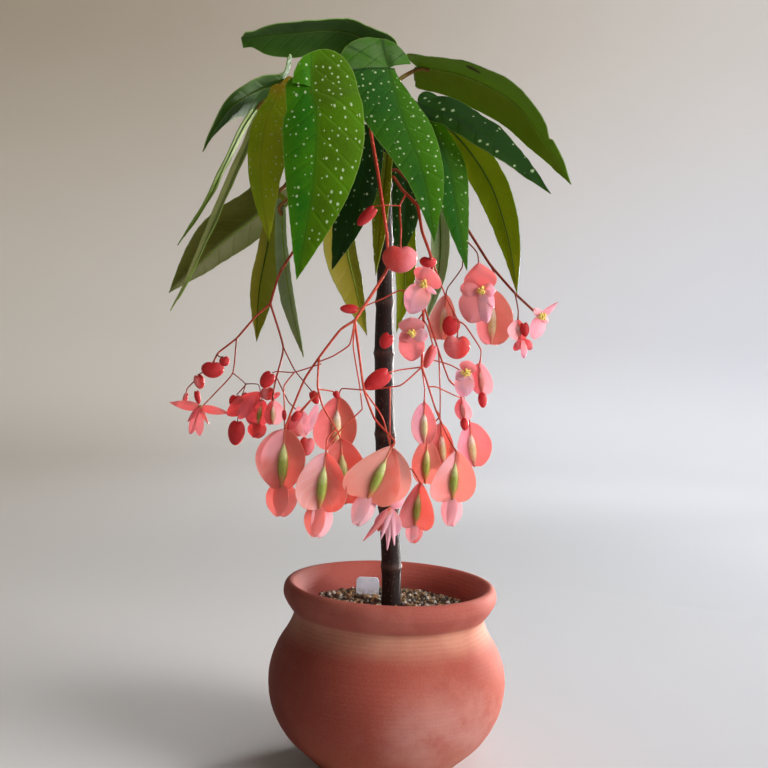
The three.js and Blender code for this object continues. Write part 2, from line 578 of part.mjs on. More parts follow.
// Flowers are made hanging down from the origin, then set between two points
const aim = (body, top, bottom) => {
  const down = vec(bottom).sub(vec(top)).normalize();
  const turn = new THREE.Quaternion().setFromUnitVectors(new THREE.Vector3(0, 0, -1), down);
  const matrix = new THREE.Matrix4().makeRotationFromQuaternion(turn).setPosition(vec(top));
  return body.applyMatrix4(matrix);
};
const span = (a, b) => vec(a).distanceTo(vec(b));
const petal = (width, thickness, height, x, y, z) => {
  const ball = new THREE.SphereGeometry(0.5, 6, 5).rotateX(Math.PI / 2);
  return ball.scale(width, thickness, height).translate(x, y, z);
};
const hangs = {};
const remember = (name, top, away) => {
  hangs[name] = [3, GAP + 0.15].map((far) => vec(top).addScaledVector(away, far).toArray());
};
const WING = [[0.08, -0.03], [0.5, -0.12], [0.88, -0.32], [1, -0.56], [0.84, -0.8], [0.4, -0.97]];
// Girth of the seed case between the wings: radius and share of the length
const OVARY = [[0, 0], [0.9, 0], [1.6, 0.15], [2.6, 0.5], [1.6, 0.85], [0, 0.98]];
const wings = (spread, length, sides) => {
  const half = WING.map(([x, z]) => [(x * spread) / 2, z * length]);
  const inner = [[0, -0.9 * length], [0, -0.1 * length]];
  const other = sides > 1 ? half.map(([x, z]) => [-x, z]).reverse() : inner;
  const shape = new THREE.Shape([...half, ...other].map(([x, z]) => new THREE.Vector2(x, z)));
  const plate = new THREE.ExtrudeGeometry(shape, { depth: 1, bevelEnabled: false });
  return plate.translate(0, 0, -0.5).rotateX(Math.PI / 2);
};
for (const [name, top, bottom, spread, skirt] of WINGED) {
  const length = span(top, bottom);
  const core = OVARY.map(([r, share]) => [r, -share * length]);
  const backWing = wings(0.45 * spread, 0.85 * length, 1).rotateZ(Math.PI / 2);
  const parts = [turned([...core].reverse(), 6), wings(spread, length, 2), backWing];
  if (skirt > 0) parts.push(petal(skirt, 3, 0.75 * skirt, 0, 0, -length - 0.25 * skirt));
  const away = vec(top).sub(vec(bottom)).normalize();
  remember(name, top, away);
  add(name, union(parts.map((part) => solid(aim(part, top, bottom)))), COLOURS.winged, 0.4);
}

const bud = (top, bottom, width, thickness) => {
  const length = span(top, bottom);
  const half = width / 2;
  const rows = [
    [0, 0], [Math.min(0.9, 0.5 * half), 0], [0.75 * half, -0.25 * length],
    [half, -0.6 * length], [0.6 * half, -0.9 * length], [0, -length],
  ];
  return solid(aim(turned([...rows].reverse(), 8).scale(1, thickness / width, 1), top, bottom));
};
for (const [name, top, bottom, width, thickness] of BUDS) {
  remember(name, top, vec(top).sub(vec(bottom)).normalize());
  add(name, bud(top, bottom, width, thickness), COLOURS.bud, 0.4);
}

// Open flowers: petals round a centre, held from behind
const BEHIND = 2.2;
const back = new THREE.Vector3(0, 1, 0);
const heart = (centre) => {
  const socket = turned([[0, -1], [1.6, -1], [1.1, BEHIND], [0, BEHIND]], 6).rotateX(-Math.PI / 2);
  const stamens = petal(4.4, 3.4, 4.4, 0, -1.4, 0);
  return [socket, stamens].map((part) => solid(part.translate(...centre)));
};
const blade = (centre, tip, width) => {
  const length = span(centre, tip);
  return solid(aim(petal(width, 1.3, length, 0, 0, -0.5 * length), centre, tip));
};
for (const [name, centre, upper, lower] of OPEN) {
  const side = vec(upper).sub(vec(lower)).normalize().cross(back).multiplyScalar(0.32 * span(upper, lower));
  const tips = [1, -1].map((sign) => vec(centre).addScaledVector(side, sign).toArray());
  const large = [upper, lower].map((tip) => blade(centre, tip, 0.95 * span(centre, tip)));
  const small = tips.map((tip) => blade(centre, tip, 0.5 * span(centre, tip)));
  remember(name, vec(centre).addScaledVector(back, BEHIND).toArray(), back);
  add(name, union([...large, ...small, ...heart(centre)]), COLOURS.open, 0.45);
}
const [starName, starCentre, starTips] = STAR;
remember(starName, vec(starCentre).addScaledVector(back, BEHIND).toArray(), back);
const rays = starTips.map((tip) => blade(starCentre, tip, 6));
add(starName, union([...rays, ...heart(starCentre)]), COLOURS.open, 0.45);

// Stalks with their branches and small buds
for (const [name, stalk] of Object.entries(STALKS)) {
  const parts = stalk.branches.map(([radius, points, flower], i) => {
    const start = i === 0 ? fromCane(stalk.start) : [];
    const all = [...start, ...points, ...(flower ? hangs[flower] : [])];
    return roundTube(all, radius, 5, Math.ceil(1.5 * all.length));
  });
  parts.push(...stalk.buds.map((shape) => bud(...shape)));
  add(name, union(parts), COLOURS.stalk, 0.5);
}

export default group;
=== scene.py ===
import math
import random
from bisect import bisect_right

import bpy
from mathutils import Euler, Matrix, Vector, noise


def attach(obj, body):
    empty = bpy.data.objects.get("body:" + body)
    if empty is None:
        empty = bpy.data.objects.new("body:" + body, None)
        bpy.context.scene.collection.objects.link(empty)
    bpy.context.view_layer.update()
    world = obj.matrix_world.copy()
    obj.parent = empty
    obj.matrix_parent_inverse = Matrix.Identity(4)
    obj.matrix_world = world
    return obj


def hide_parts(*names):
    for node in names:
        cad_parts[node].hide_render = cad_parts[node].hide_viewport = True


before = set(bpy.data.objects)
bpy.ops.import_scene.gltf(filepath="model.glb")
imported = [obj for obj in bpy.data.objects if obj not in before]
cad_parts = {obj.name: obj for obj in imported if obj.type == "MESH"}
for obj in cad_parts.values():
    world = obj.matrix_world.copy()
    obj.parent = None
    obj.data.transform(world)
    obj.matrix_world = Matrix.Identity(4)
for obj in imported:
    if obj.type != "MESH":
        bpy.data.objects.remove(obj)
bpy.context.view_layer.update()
MM = 0.001

# Camera: where the photo was taken from, level and rolled a little
IMAGE = 768
FOCAL_PX = 880
DISTANCE = 480
ASIDE_PX = 15
EYE = 203.4
ROLL = 2.5
SENSOR = 36

camera = bpy.data.objects.new("camera", bpy.data.cameras.new("camera"))
bpy.context.scene.collection.objects.link(camera)
camera.data.sensor_width = SENSOR
camera.data.sensor_fit = "HORIZONTAL"
camera.data.lens = SENSOR * FOCAL_PX / IMAGE
turn = Matrix.Rotation(math.radians(90), 4, "X") @ Matrix.Rotation(math.radians(ROLL), 4, "Z")
stand = Matrix.Translation(Vector((-ASIDE_PX * DISTANCE / FOCAL_PX, -DISTANCE, EYE)) * MM)
camera.matrix_world = stand @ turn
bpy.context.scene.camera = camera


# Colours and materials

def tint(code):
    """A screen colour such as d8a080 as linear values."""
    parts = [int(code[i:i + 2], 16) / 255 for i in (0, 2, 4)]
    return [p / 12.92 if p <= 0.04045 else ((p + 0.055) / 1.055) ** 2.4 for p in parts] + [1.0]


def rule(operation):
    return lambda self, *others: self.paint.maths(operation, self, *others)


class Value:
    """A number that a node works out. Sums, products and comparisons with it make further nodes."""

    def __init__(self, paint, socket):
        self.paint = paint
        self.socket = socket

    def __rsub__(self, other):
        return self.paint.maths("SUBTRACT", other, self)

    __add__ = __radd__ = rule("ADD")
    __mul__ = __rmul__ = rule("MULTIPLY")
    __sub__ = rule("SUBTRACT")
    __gt__ = rule("GREATER_THAN")
    __lt__ = rule("LESS_THAN")
    __abs__ = rule("ABSOLUTE")


class Paint:
    """A material built from procedural nodes, with a running colour that further ones are laid over."""

    def __init__(self, name):
        self.mat = bpy.data.materials.new(name)
        self.mat.use_nodes = True
        self.tree = self.mat.node_tree
        self.bsdf = next(n for n in self.tree.nodes if n.type == "BSDF_PRINCIPLED")
        self.place = self.add("ShaderNodeTexCoord").outputs["Object"]
        self.colour = None

    def add(self, kind, **settings):
        node = self.tree.nodes.new(kind)
        for key, value in settings.items():
            setattr(node, key, value)
        return node

    def feed(self, socket, value):
        value = value.socket if isinstance(value, Value) else value
        if isinstance(value, bpy.types.NodeSocket):
            self.tree.links.new(value, socket)
        else:
            socket.default_value = tint(value) if isinstance(value, str) else value

    def maths(self, operation, *values):
        node = self.add("ShaderNodeMath", operation=operation)
        for socket, value in zip(node.inputs, values):
            self.feed(socket, value)
        return Value(self, node.outputs[0])

    def mix(self, share, a, b):
        node = self.add("ShaderNodeMix", data_type="RGBA")
        for number, value in ((0, share), (6, a), (7, b)):
            self.feed(node.inputs[number], value)
        return node.outputs[2]

    def lay(self, share, colour):
        self.colour = self.mix(share, self.colour, colour)

    def noise(self, scale, detail=2.0, place=None, rough=0.5):
        node = self.add("ShaderNodeTexNoise")
        self.feed(node.inputs["Vector"], place or self.place)
        for key, value in (("Scale", scale), ("Detail", detail), ("Roughness", rough)):
            node.inputs[key].default_value = value
        return Value(self, node.outputs[0])

    def cells(self, scale, place=None, feature="F1", random=1.0, dims="3D"):
        """The distance to the middle of the cell, or to its edge, and the cell's own colour."""
        node = self.add("ShaderNodeTexVoronoi", feature=feature, voronoi_dimensions=dims)
        self.feed(node.inputs["Vector"], place or self.place)
        node.inputs["Scale"].default_value = scale
        node.inputs["Randomness"].default_value = random
        return Value(self, node.outputs["Distance"]), node.outputs.get("Color")

    def step(self, value, low, high):
        """0 up to low, 1 from high, with a soft change between them."""
        node = self.add("ShaderNodeMapRange", interpolation_type="SMOOTHSTEP", clamp=True)
        for socket, number in zip(node.inputs, (value, low, high)):
            self.feed(socket, number)
        return Value(self, node.outputs[0])

    def patches(self, scale, detail, low, high):
        return self.step(self.noise(scale, detail), low, high)

    def lines(self, value):
        """0.5 where the value is whole and 0 halfway."""
        return abs(self.maths("FRACT", value) - 0.5)

    def stretch(self, *scale):
        node = self.add("ShaderNodeMapping")
        self.feed(node.inputs["Vector"], self.place)
        node.inputs["Scale"].default_value = scale
        return node.outputs[0]

    def split(self, vector):
        node = self.add("ShaderNodeSeparateXYZ")
        self.feed(node.inputs[0], vector)
        return [Value(self, socket) for socket in node.outputs]

    def join(self, *values):
        node = self.add("ShaderNodeCombineXYZ")
        for socket, value in zip(node.inputs, values):
            self.feed(socket, value)
        return node.outputs[0]

    def tag(self):
        return self.split(self.add("ShaderNodeAttribute", attribute_name="tag").outputs["Vector"])

    def glow(self, weight, *radius):
        """Wet tissue, with light that spreads below the skin."""
        self.bsdf.inputs["Subsurface Weight"].default_value = weight
        self.bsdf.inputs["Subsurface Radius"].default_value = radius

    def thin(self, share, colour):
        """Lets part of the light through, as a leaf or a petal does."""
        through = self.add("ShaderNodeBsdfTranslucent")
        self.feed(through.inputs[0], colour)
        both = self.add("ShaderNodeMixShader")
        both.inputs[0].default_value = share
        self.feed(both.inputs[1], self.bsdf.outputs[0])
        self.feed(both.inputs[2], through.outputs[0])
        end = next(n for n in self.tree.nodes if n.type == "OUTPUT_MATERIAL")
        self.feed(end.inputs[0], both.outputs[0])

    def finish(self, height, strength, depth, rough, shine=0.5):
        """The running colour, a bump, the roughness and the gloss. The depth of the bump is in metres."""
        node = self.add("ShaderNodeBump")
        node.inputs["Strength"].default_value = strength
        node.inputs["Distance"].default_value = depth
        self.feed(node.inputs["Height"], height)
        self.feed(self.bsdf.inputs["Normal"], node.outputs[0])
        self.feed(self.bsdf.inputs["Base Color"], self.colour)
        self.feed(self.bsdf.inputs["Roughness"], rough)
        self.bsdf.inputs["Specular IOR Level"].default_value = shine
        return self.mat


# Meshes. A spot is a point in millimetres with its tag, three values that the materials read.

# Degrees between faces from which an edge is sharp
SHARP = 50


def settle(piece, node):
    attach(piece, "root")
    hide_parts(node)


def around(sides):
    return [2 * math.pi * k / sides for k in range(sides)]


class Build:
    """Collects the surfaces of one piece, with a material for each face."""

    def __init__(self):
        self.spots, self.faces, self.looks = [], [], []

    def surface(self, spots, faces, looks):
        start = len(self.spots)
        self.spots += spots
        self.faces += [[start + i for i in face] for face in faces]
        self.looks += looks

    def rings(self, rows, mat, low="flat", high="flat"):
        """Rings of spots, one after the other. An end is open, shut flat, or shut by a fan to a spot."""
        count = len(rows[0])
        spots = [spot for row in rows for spot in row]
        faces = []
        for i in range(0, len(spots) - count, count):
            for j in range(count):
                k = (j + 1) % count
                faces.append([i + j, i + k, i + count + k, i + count + j])
        edges = list(reversed(range(count))), list(range(len(spots) - count, len(spots)))
        for edge, end in zip(edges, (low, high)):
            if end == "flat":
                faces.append(edge)
            elif end:
                spots.append(end)
                faces += [[len(spots) - 1, a, b] for a, b in zip(edge, edge[1:] + edge[:1])]
        self.surface(spots, faces, [mat] * len(faces))

    def shell(self, grids, mat, thickness, under=None):
        """Grids of spots, joined along equal points and given a thickness. under is the material behind."""
        spots, faces, sides = thicken(*sheet_of(grids), thickness)
        self.surface(spots, faces, [mat if side >= 0 else under or mat for side in sides])

    def join(self, other):
        self.surface(other.spots, other.faces, other.looks)

    def place(self, top, bottom):
        """Turns what hangs down from the origin so that it hangs from top towards bottom."""
        down = (Vector(bottom) - Vector(top)).normalized()
        spin = Vector((0, 0, -1)).rotation_difference(down)
        self.spots = [(spin @ Vector(p) + Vector(top), tag) for p, tag in self.spots]
        return self

    def piece(self, name, sharp=SHARP):
        mesh = bpy.data.meshes.new(name)
        mesh.from_pydata([tuple(Vector(p) * MM) for p, _ in self.spots], [], self.faces)
        mats = list(dict.fromkeys(self.looks))
        for mat in mats:
            mesh.materials.append(mat)
        mesh.polygons.foreach_set("material_index", [mats.index(mat) for mat in self.looks])
        layer = mesh.attributes.new("tag", "FLOAT_VECTOR", "POINT")
        layer.data.foreach_set("vector", [value for _, tag in self.spots for value in tag])
        mesh.update()
        mesh.set_sharp_from_angle(angle=math.radians(sharp))
        piece = bpy.data.objects.new(name, mesh)
        bpy.context.scene.collection.objects.link(piece)
        return piece


def sheet_of(grids):
    """Joins equal points of the grids, such as the tip, and drops faces without area."""
    spots, faces, seen = [], [], {}
    for rows in grids:
        order = []
        for spot in [spot for row in rows for spot in row]:
            key = tuple(round(c, 3) for c in spot[0])
            if key not in seen:
                seen[key] = len(spots)
                spots.append(spot)
            order.append(seen[key])
        count = len(rows[0])
        for k in range(len(order) - count):
            if (k + 1) % count:
                face = list(dict.fromkeys((order[k], order[k + 1], order[k + count + 1], order[k + count])))
                if len(face) > 2:
                    faces.append(face)
    return spots, faces


def thicken(spots, faces, thickness):
    """Both faces of a sheet and a wall along its edge. The last list says which face is which: 1, -1 or 0."""
    normals = [Vector() for _ in spots]
    for face in faces:
        p = [spots[i][0] for i in face]
        n = (p[1] - p[0]).cross(p[2] - p[0]) + (p[2] - p[0]).cross(p[-1] - p[0])
        for i in face:
            normals[i] += n
    for n in normals:
        n.normalize()
    count = len(spots)
    body = []
    for half in (thickness / 2, -thickness / 2):
        body += [(p + n * half, tag) for (p, tag), n in zip(spots, normals)]
    skin, sides, edges = [], [], set()
    for face in faces:
        skin += [face, [i + count for i in reversed(face)]]
        sides += [1, -1]
        edges |= set(zip(face, face[1:] + face[:1]))
    for a, b in sorted(edges):
        if (b, a) not in edges:
            skin.append([b, a, a + count, b + count])
            sides.append(0)
    return body, skin, sides


def spline(points, step=1.0, slack=0.5):
    """A smooth line through the points, with a point about every step. A small slack keeps it straighter."""
    pts = [Vector(p) for p in points]
    pts = [2 * pts[0] - pts[1]] + pts + [2 * pts[-1] - pts[-2]]
    line = []
    for a, b, c, d in zip(pts, pts[1:], pts[2:], pts[3:]):
        count = max(2, round((c - b).length / step))
        for i in range(count):
            t = i / count
            rise = 3 * t * t - 2 * t ** 3
            line.append(b + (c - b) * rise + (c - a) * slack * (t - 2 * t * t + t ** 3)
                        + (d - b) * slack * (t ** 3 - t * t))
    return line + [pts[-2]]


def tube(build, line, radii, mat, sides=10):
    """A closed tube along a line, with a radius for each point. tag: length, radius, share of a turn."""
    along = [(b - a).normalized() for a, b in zip(line, line[1:])]
    along.append(along[-1])
    side = along[0].orthogonal().normalized()
    rows = []
    length = 0.0
    for i, (p, r) in enumerate(zip(line, radii)):
        if i:
            side = (along[i - 1].rotation_difference(along[i]) @ side).normalized()
            length += (p - line[i - 1]).length
        other = along[i].cross(side)
        rows.append([(p + (side * math.cos(a) + other * math.sin(a)) * r, (length, r, a / (2 * math.pi)))
                     for a in around(sides)])
    build.rings(rows, mat)


def turned(build, profile, mat, sides):
    """A turned solid round Z. profile holds (radius, height), and starts and ends on the axis."""
    (_, low), *middle, (_, high) = profile
    rows = [[((r * math.cos(a), r * math.sin(a), z), ((z - low) / (high - low), r, a / (2 * math.pi)))
             for a in around(sides)] for r, z in middle]
    build.rings(rows, mat, ((0, 0, low), (0, 0, 0)), ((0, 0, high), (1, 0, 0)))


# Cane and side shoot: heights and radii in millimetres

CANE_AXIS = [(60, 1), (84, 1), (108, 0), (167, -6), (222, -9), (260, -10), (315, -13), (361, -15), (386, -16)]
CANE_RADIUS = [(60, 5.4), (225, 5.3), (258, 4.5), (350, 4.2), (378, 3.6), (384, 2.6), (386, 1.2)]
CANE_NODES = [104, 136, 176, 220, 248, 282, 312, 340, 364]
CANE_LOW, CANE_HIGH = 60, 386
SHOOT_RADIUS = 2.4
SHOOT_START = (318, 180)
SHOOT_PATH = [(-29, 5, 321), (-44, 10, 331), (-57, 12, 345), (-66, 12, 358)]


def table(rows, z):
    """The value at a height, from rows of (height, value)."""
    if z <= rows[0][0]:
        return rows[0][1]
    for (za, a), (zb, b) in zip(rows, rows[1:]):
        if z <= zb:
            return a + (b - a) * (z - za) / (zb - za)
    return rows[-1][1]


def cane_centre(z):
    return Vector((sum(table(CANE_AXIS, z + shift) for shift in (-8, -4, 0, 4, 8)) / 5, 0, z))


def cane_radius(z):
    near = min(abs(z - node) for node in CANE_NODES)
    return table(CANE_RADIUS, z) + 0.7 * max(1 - near / 4, 0) ** 1.5


def leave(centre, along, radius, bearing):
    """Two points square to a stem: just under its surface and a little way out."""
    out = Vector((math.cos(math.radians(bearing)), math.sin(math.radians(bearing)), 0))
    out = (out - along * out.dot(along)).normalized()
    return [centre + out * (radius - 0.5), centre + out * (radius + 3)]


def from_cane(z, bearing):
    return leave(cane_centre(z), Vector((0, 0, 1)), cane_radius(z), bearing)


class Track:
    """A measured line: the point and the direction at a distance along it."""

    def __init__(self, line):
        self.line = line
        self.far = [0.0]
        for a, b in zip(line, line[1:]):
            self.far.append(self.far[-1] + (b - a).length)
        ends = [line[0]] + line + [line[-1]]
        self.way = [(b - a).normalized() for a, b in zip(ends, ends[2:])]
        self.length = self.far[-1]

    def at(self, distance):
        far = min(max(distance, 0), self.length)
        i = min(bisect_right(self.far, far), len(self.far) - 1) - 1
        share = (far - self.far[i]) / (self.far[i + 1] - self.far[i])
        point = self.line[i].lerp(self.line[i + 1], share)
        return point, self.way[i].lerp(self.way[i + 1], share).normalized()


def cane_paint():
    """tag: share of the height, and closeness to a ring node."""
    p = Paint("cane_bark")
    height, ring, _ = p.tag()
    grain = p.noise(1, 4, p.stretch(900, 900, 60))
    flecks = 1 - p.step(p.cells(700, p.stretch(1, 1, 0.45))[0], 0.1, 0.22)
    p.colour = p.mix(p.step(grain, 0.35, 0.7), "150806", "26110c")
    # Long grey streaks along the grain: partly the bark's own tone, partly painted highlights.
    p.lay(0.2 * p.step(p.noise(1, 3, p.stretch(300, 300, 25)), 0.55, 0.75), "4a3c38")
    p.lay(0.45 * ring, "5a4038")
    p.lay(0.5 * p.step(height, 0.78, 1.0), "54402a")
    p.lay(0.35 * flecks, "8a7a68")
    return p.finish(grain + 0.4 * flecks, 0.5, 0.0004, 0.5 + 0.2 * p.noise(200, 3), 0.3)


def stem_paint(name, first, second, third, roughness=0.42, scale=28):
    p = Paint(name)
    p.colour = p.mix(p.patches(scale, 2, 0.36, 0.64), first, second)
    p.lay(0.6 * p.patches(420, 3, 0.45, 0.75), third)
    p.glow(0.1, 0.002, 0.0008, 0.0005)
    return p.finish(p.noise(900, 3), 0.25, 0.0002, roughness - 0.06 + 0.14 * p.noise(300), 0.12)


def cane_piece():
    build = Build()
    rows = []
    for z in range(CANE_LOW, CANE_HIGH + 1):
        near = max(1 - min(abs(z - n) for n in CANE_NODES) / 3, 0)
        row = []
        for a in around(40):
            way = Vector((math.cos(a), math.sin(a), 0))
            scar = 0.35 * near * noise.noise(way * 1.3 + Vector((0, 0, z * 0.05)))
            r = cane_radius(z) * 0.985 + scar + 0.12 * noise.noise(way * 2 + Vector((0, 0, z * 0.04)))
            row.append((cane_centre(z) + way * r, ((z - CANE_LOW) / (CANE_HIGH - CANE_LOW), near, 0)))
        rows.append(row)
    build.rings(rows, cane_paint())
    settle(build.piece("cane_bark"), "cane")


def shoot_piece():
    build = Build()
    last = len(shoot.line) - 1
    radii = [SHOOT_RADIUS * (1.06 - 0.22 * i / last + 0.16 * max(math.cos(i * 0.55), 0) ** 12)
             for i in range(last + 1)]
    tube(build, shoot.line, radii, stem_paint("shoot_bark", "5a5a34", "70503a", "7c7448", scale=40), 16)
    settle(build.piece("side_shoot_bark"), "side_shoot")


shoot = Track(spline(from_cane(*SHOOT_START) + SHOOT_PATH))


# Leaf materials

def leaf_paint(name, left, right, rim, spots=0.0, size=1.0, oval=1.0, ear_sheen=None, rib="466018", vein=0.1,
               mottle=0.35, gloss=0.5, top=None, scars=(), through=0.2, shine=0.12):
    """left and right are the two halves. tag: centimetres across and along, and the share of the way out."""
    p = Paint(name)
    across, along, share = p.tag()
    width = abs(across)
    veins = p.step(p.lines(0.8 * (along - 0.9 * width)), 0.36, 0.5) * p.step(width, 0.02, 0.3)
    net = p.step(p.cells(450, feature="DISTANCE_TO_EDGE")[0], 0.0, 0.14)
    p.colour = p.mix(p.step(across, -0.25, 0.25), left, right)
    p.lay(mottle * p.patches(48, 3, 0.42, 0.68), rim)
    p.lay(0.35 * p.step(share, 0.5, 1.0), rim)
    p.lay(vein * veins, rim)
    p.lay(0.08 - 0.08 * net, rim)
    p.lay(0.12 * p.patches(1400, 3, 0.35, 0.75), "142c06")
    if top:
        p.lay(0.6 * (1 - p.step(along + p.noise(120), 0.2, 1.6)), top)
    p.lay(0.6 * (1 - p.step(width, 0.015, 0.06)), rib)
    if spots:
        grid = p.join(across * (2.5 / size), along * (2 / (size * oval)))
        middle, colour = p.cells(1.0, grid, random=0.85, dims="2D")
        pick = p.split(colour)
        far = middle + 0.08 * (p.noise(900, 1) - 0.5) - (0.1 * pick[0] + 0.07)
        inner = (pick[1] > 0.22) * p.step(width, 0.1, 0.18) * (share < 0.92)
        p.lay(spots * inner * (1 - p.step(far, -0.05, 0.035)), "c8dea8")
    # The ear behind the junction, without spots and painted pale: a painted sheen where it faces up, with
    # darker rays along its veins.
    if ear_sheen:
        past = along - 0.62 * width * (1 - p.step(across, -0.02, 0.02))
        rays = p.lines(1.3 * p.maths("ARCTAN2", across, 0.0 - along))
        pale = p.mix(p.patches(90, 2, 0.35, 0.75), ear_sheen, rim)
        pale = p.mix(0.6 * p.step(rays, 0.4, 0.5), pale, "1e3c12")
        p.lay(1 - p.step(past, -0.04, 0.04), pale)
        # A dark line along the crease at the ear's edge: painted shadow.
        p.lay(0.7 * (1 - p.step(abs(past), 0.02, 0.09)), "142a0c")
    for x, y, reach in scars:
        aside, up = across - x, 0.5 * (along - y)
        torn = p.maths("SQRT", aside * aside + up * up) + 0.12 * p.noise(300, 3)
        p.lay(1 - p.step(torn, reach, reach + 0.07), "3c1c10")
    p.lay(0.4 * p.step(share, 0.97, 0.995), "9cb860")
    p.thin(through, p.mix(0.5, p.colour, "86b400"))
    height = 0.6 * p.noise(260, 3) + 0.2 * net - 0.8 * veins
    return p.finish(height, 0.4, 0.0005, gloss - 0.06 + 0.14 * p.noise(140, 3), shine)


petiole_skin = stem_paint("petiole", "70682a", "84542c", "8c7c3c")
RIB_LIGHT = stem_paint("rib_light", "7a9430", "6a8424", "90a448")
RIB_DARK = stem_paint("rib_dark", "3c5614", "465c18", "4c6a22")

BRIGHT = leaf_paint("leaf_bright", "4a6c04", "2a7010", "5a9200", 0.85, rib="34600a")
DEEP = leaf_paint("leaf_deep", "3e7404", "28601a", "447c10", 0.85, oval=0.85, ear_sheen="5c8044", rib="30560c")
GREEN = leaf_paint("leaf_green", "3c6c14", "24601e", "3c7014", 0.85, rib="345814")
OLIVE = leaf_paint("leaf_olive", "94a60c", "88a010", "a2aa20", 0.5, 0.85, mottle=0.7, rib="84861c",
                   top="b07420")
DARK = leaf_paint("leaf_dark", "0c2408", "10300c", "1a3c12", 0.55, 0.95, rib="1c3a10")
SLATE = leaf_paint("leaf_slate", "173a0c", "14320c", "1e4412", 0.62, 2.0, 0.6, rib="203c14",
                   gloss=0.55, shine=0.1)
GOLD = leaf_paint("leaf_gold", "8a8c0c", "4c5c0c", "8c8c14", 0.85, 0.6, rib="6c6c14")
UNDER_DARK = leaf_paint("under_dark", "2a480c", "2d4f0e", "40641e", vein=0.2, rib="283e0e")
UNDER_TWO = leaf_paint("under_two", "6a7414", "6c921c", "6e8a20", vein=0.2, rib="708c28", mottle=0.5,
                       scars=((1.0, 3.3, 0.22), (0.9, 3.6, 0.14)), through=0.3)
UNDER_OLIVE = leaf_paint("under_olive", "8a9410", "9ea818", "a0ac20", vein=0.2, rib="6c7418",
                         scars=((-0.1, 7.4, 0.03),), through=0.4)
UNDER_MOSS = leaf_paint("under_moss", "566a14", "62761a", "70842c", vein=0.25, rib="7c904c")
# An underside with lit and shaded halves: the dark half is painted shade, the pale half painted light.
UNDER_HALF = leaf_paint("under_half", "4e5010", "b8b68c", "80803c", vein=0.25, rib="8a8648", through=0.3)
UNDER_BROWN = leaf_paint("under_brown", "a4982e", "8a8a22", "a4984a", vein=0.3, rib="6c6428", through=0.3)
UNDER_PALE = leaf_paint("under_pale", "82986a", "92a67c", "a8b890", vein=0.3, rib="9cac7c")
# A leaf seen edge on: the dark half is its upper side with painted shade, the pale half its underside.
STRIP = leaf_paint("under_strip", "56680e", "c8cc8a", "8a9a48", vein=0.3, rib="94a054")


# Leaves: blade, petiole and the raised midrib below

BLADE = 0.5
CURL = math.radians(-20)
LOBE_ROWS, SIDE_ROWS, ACROSS = 12, 56, 12
PETIOLE = 1.15

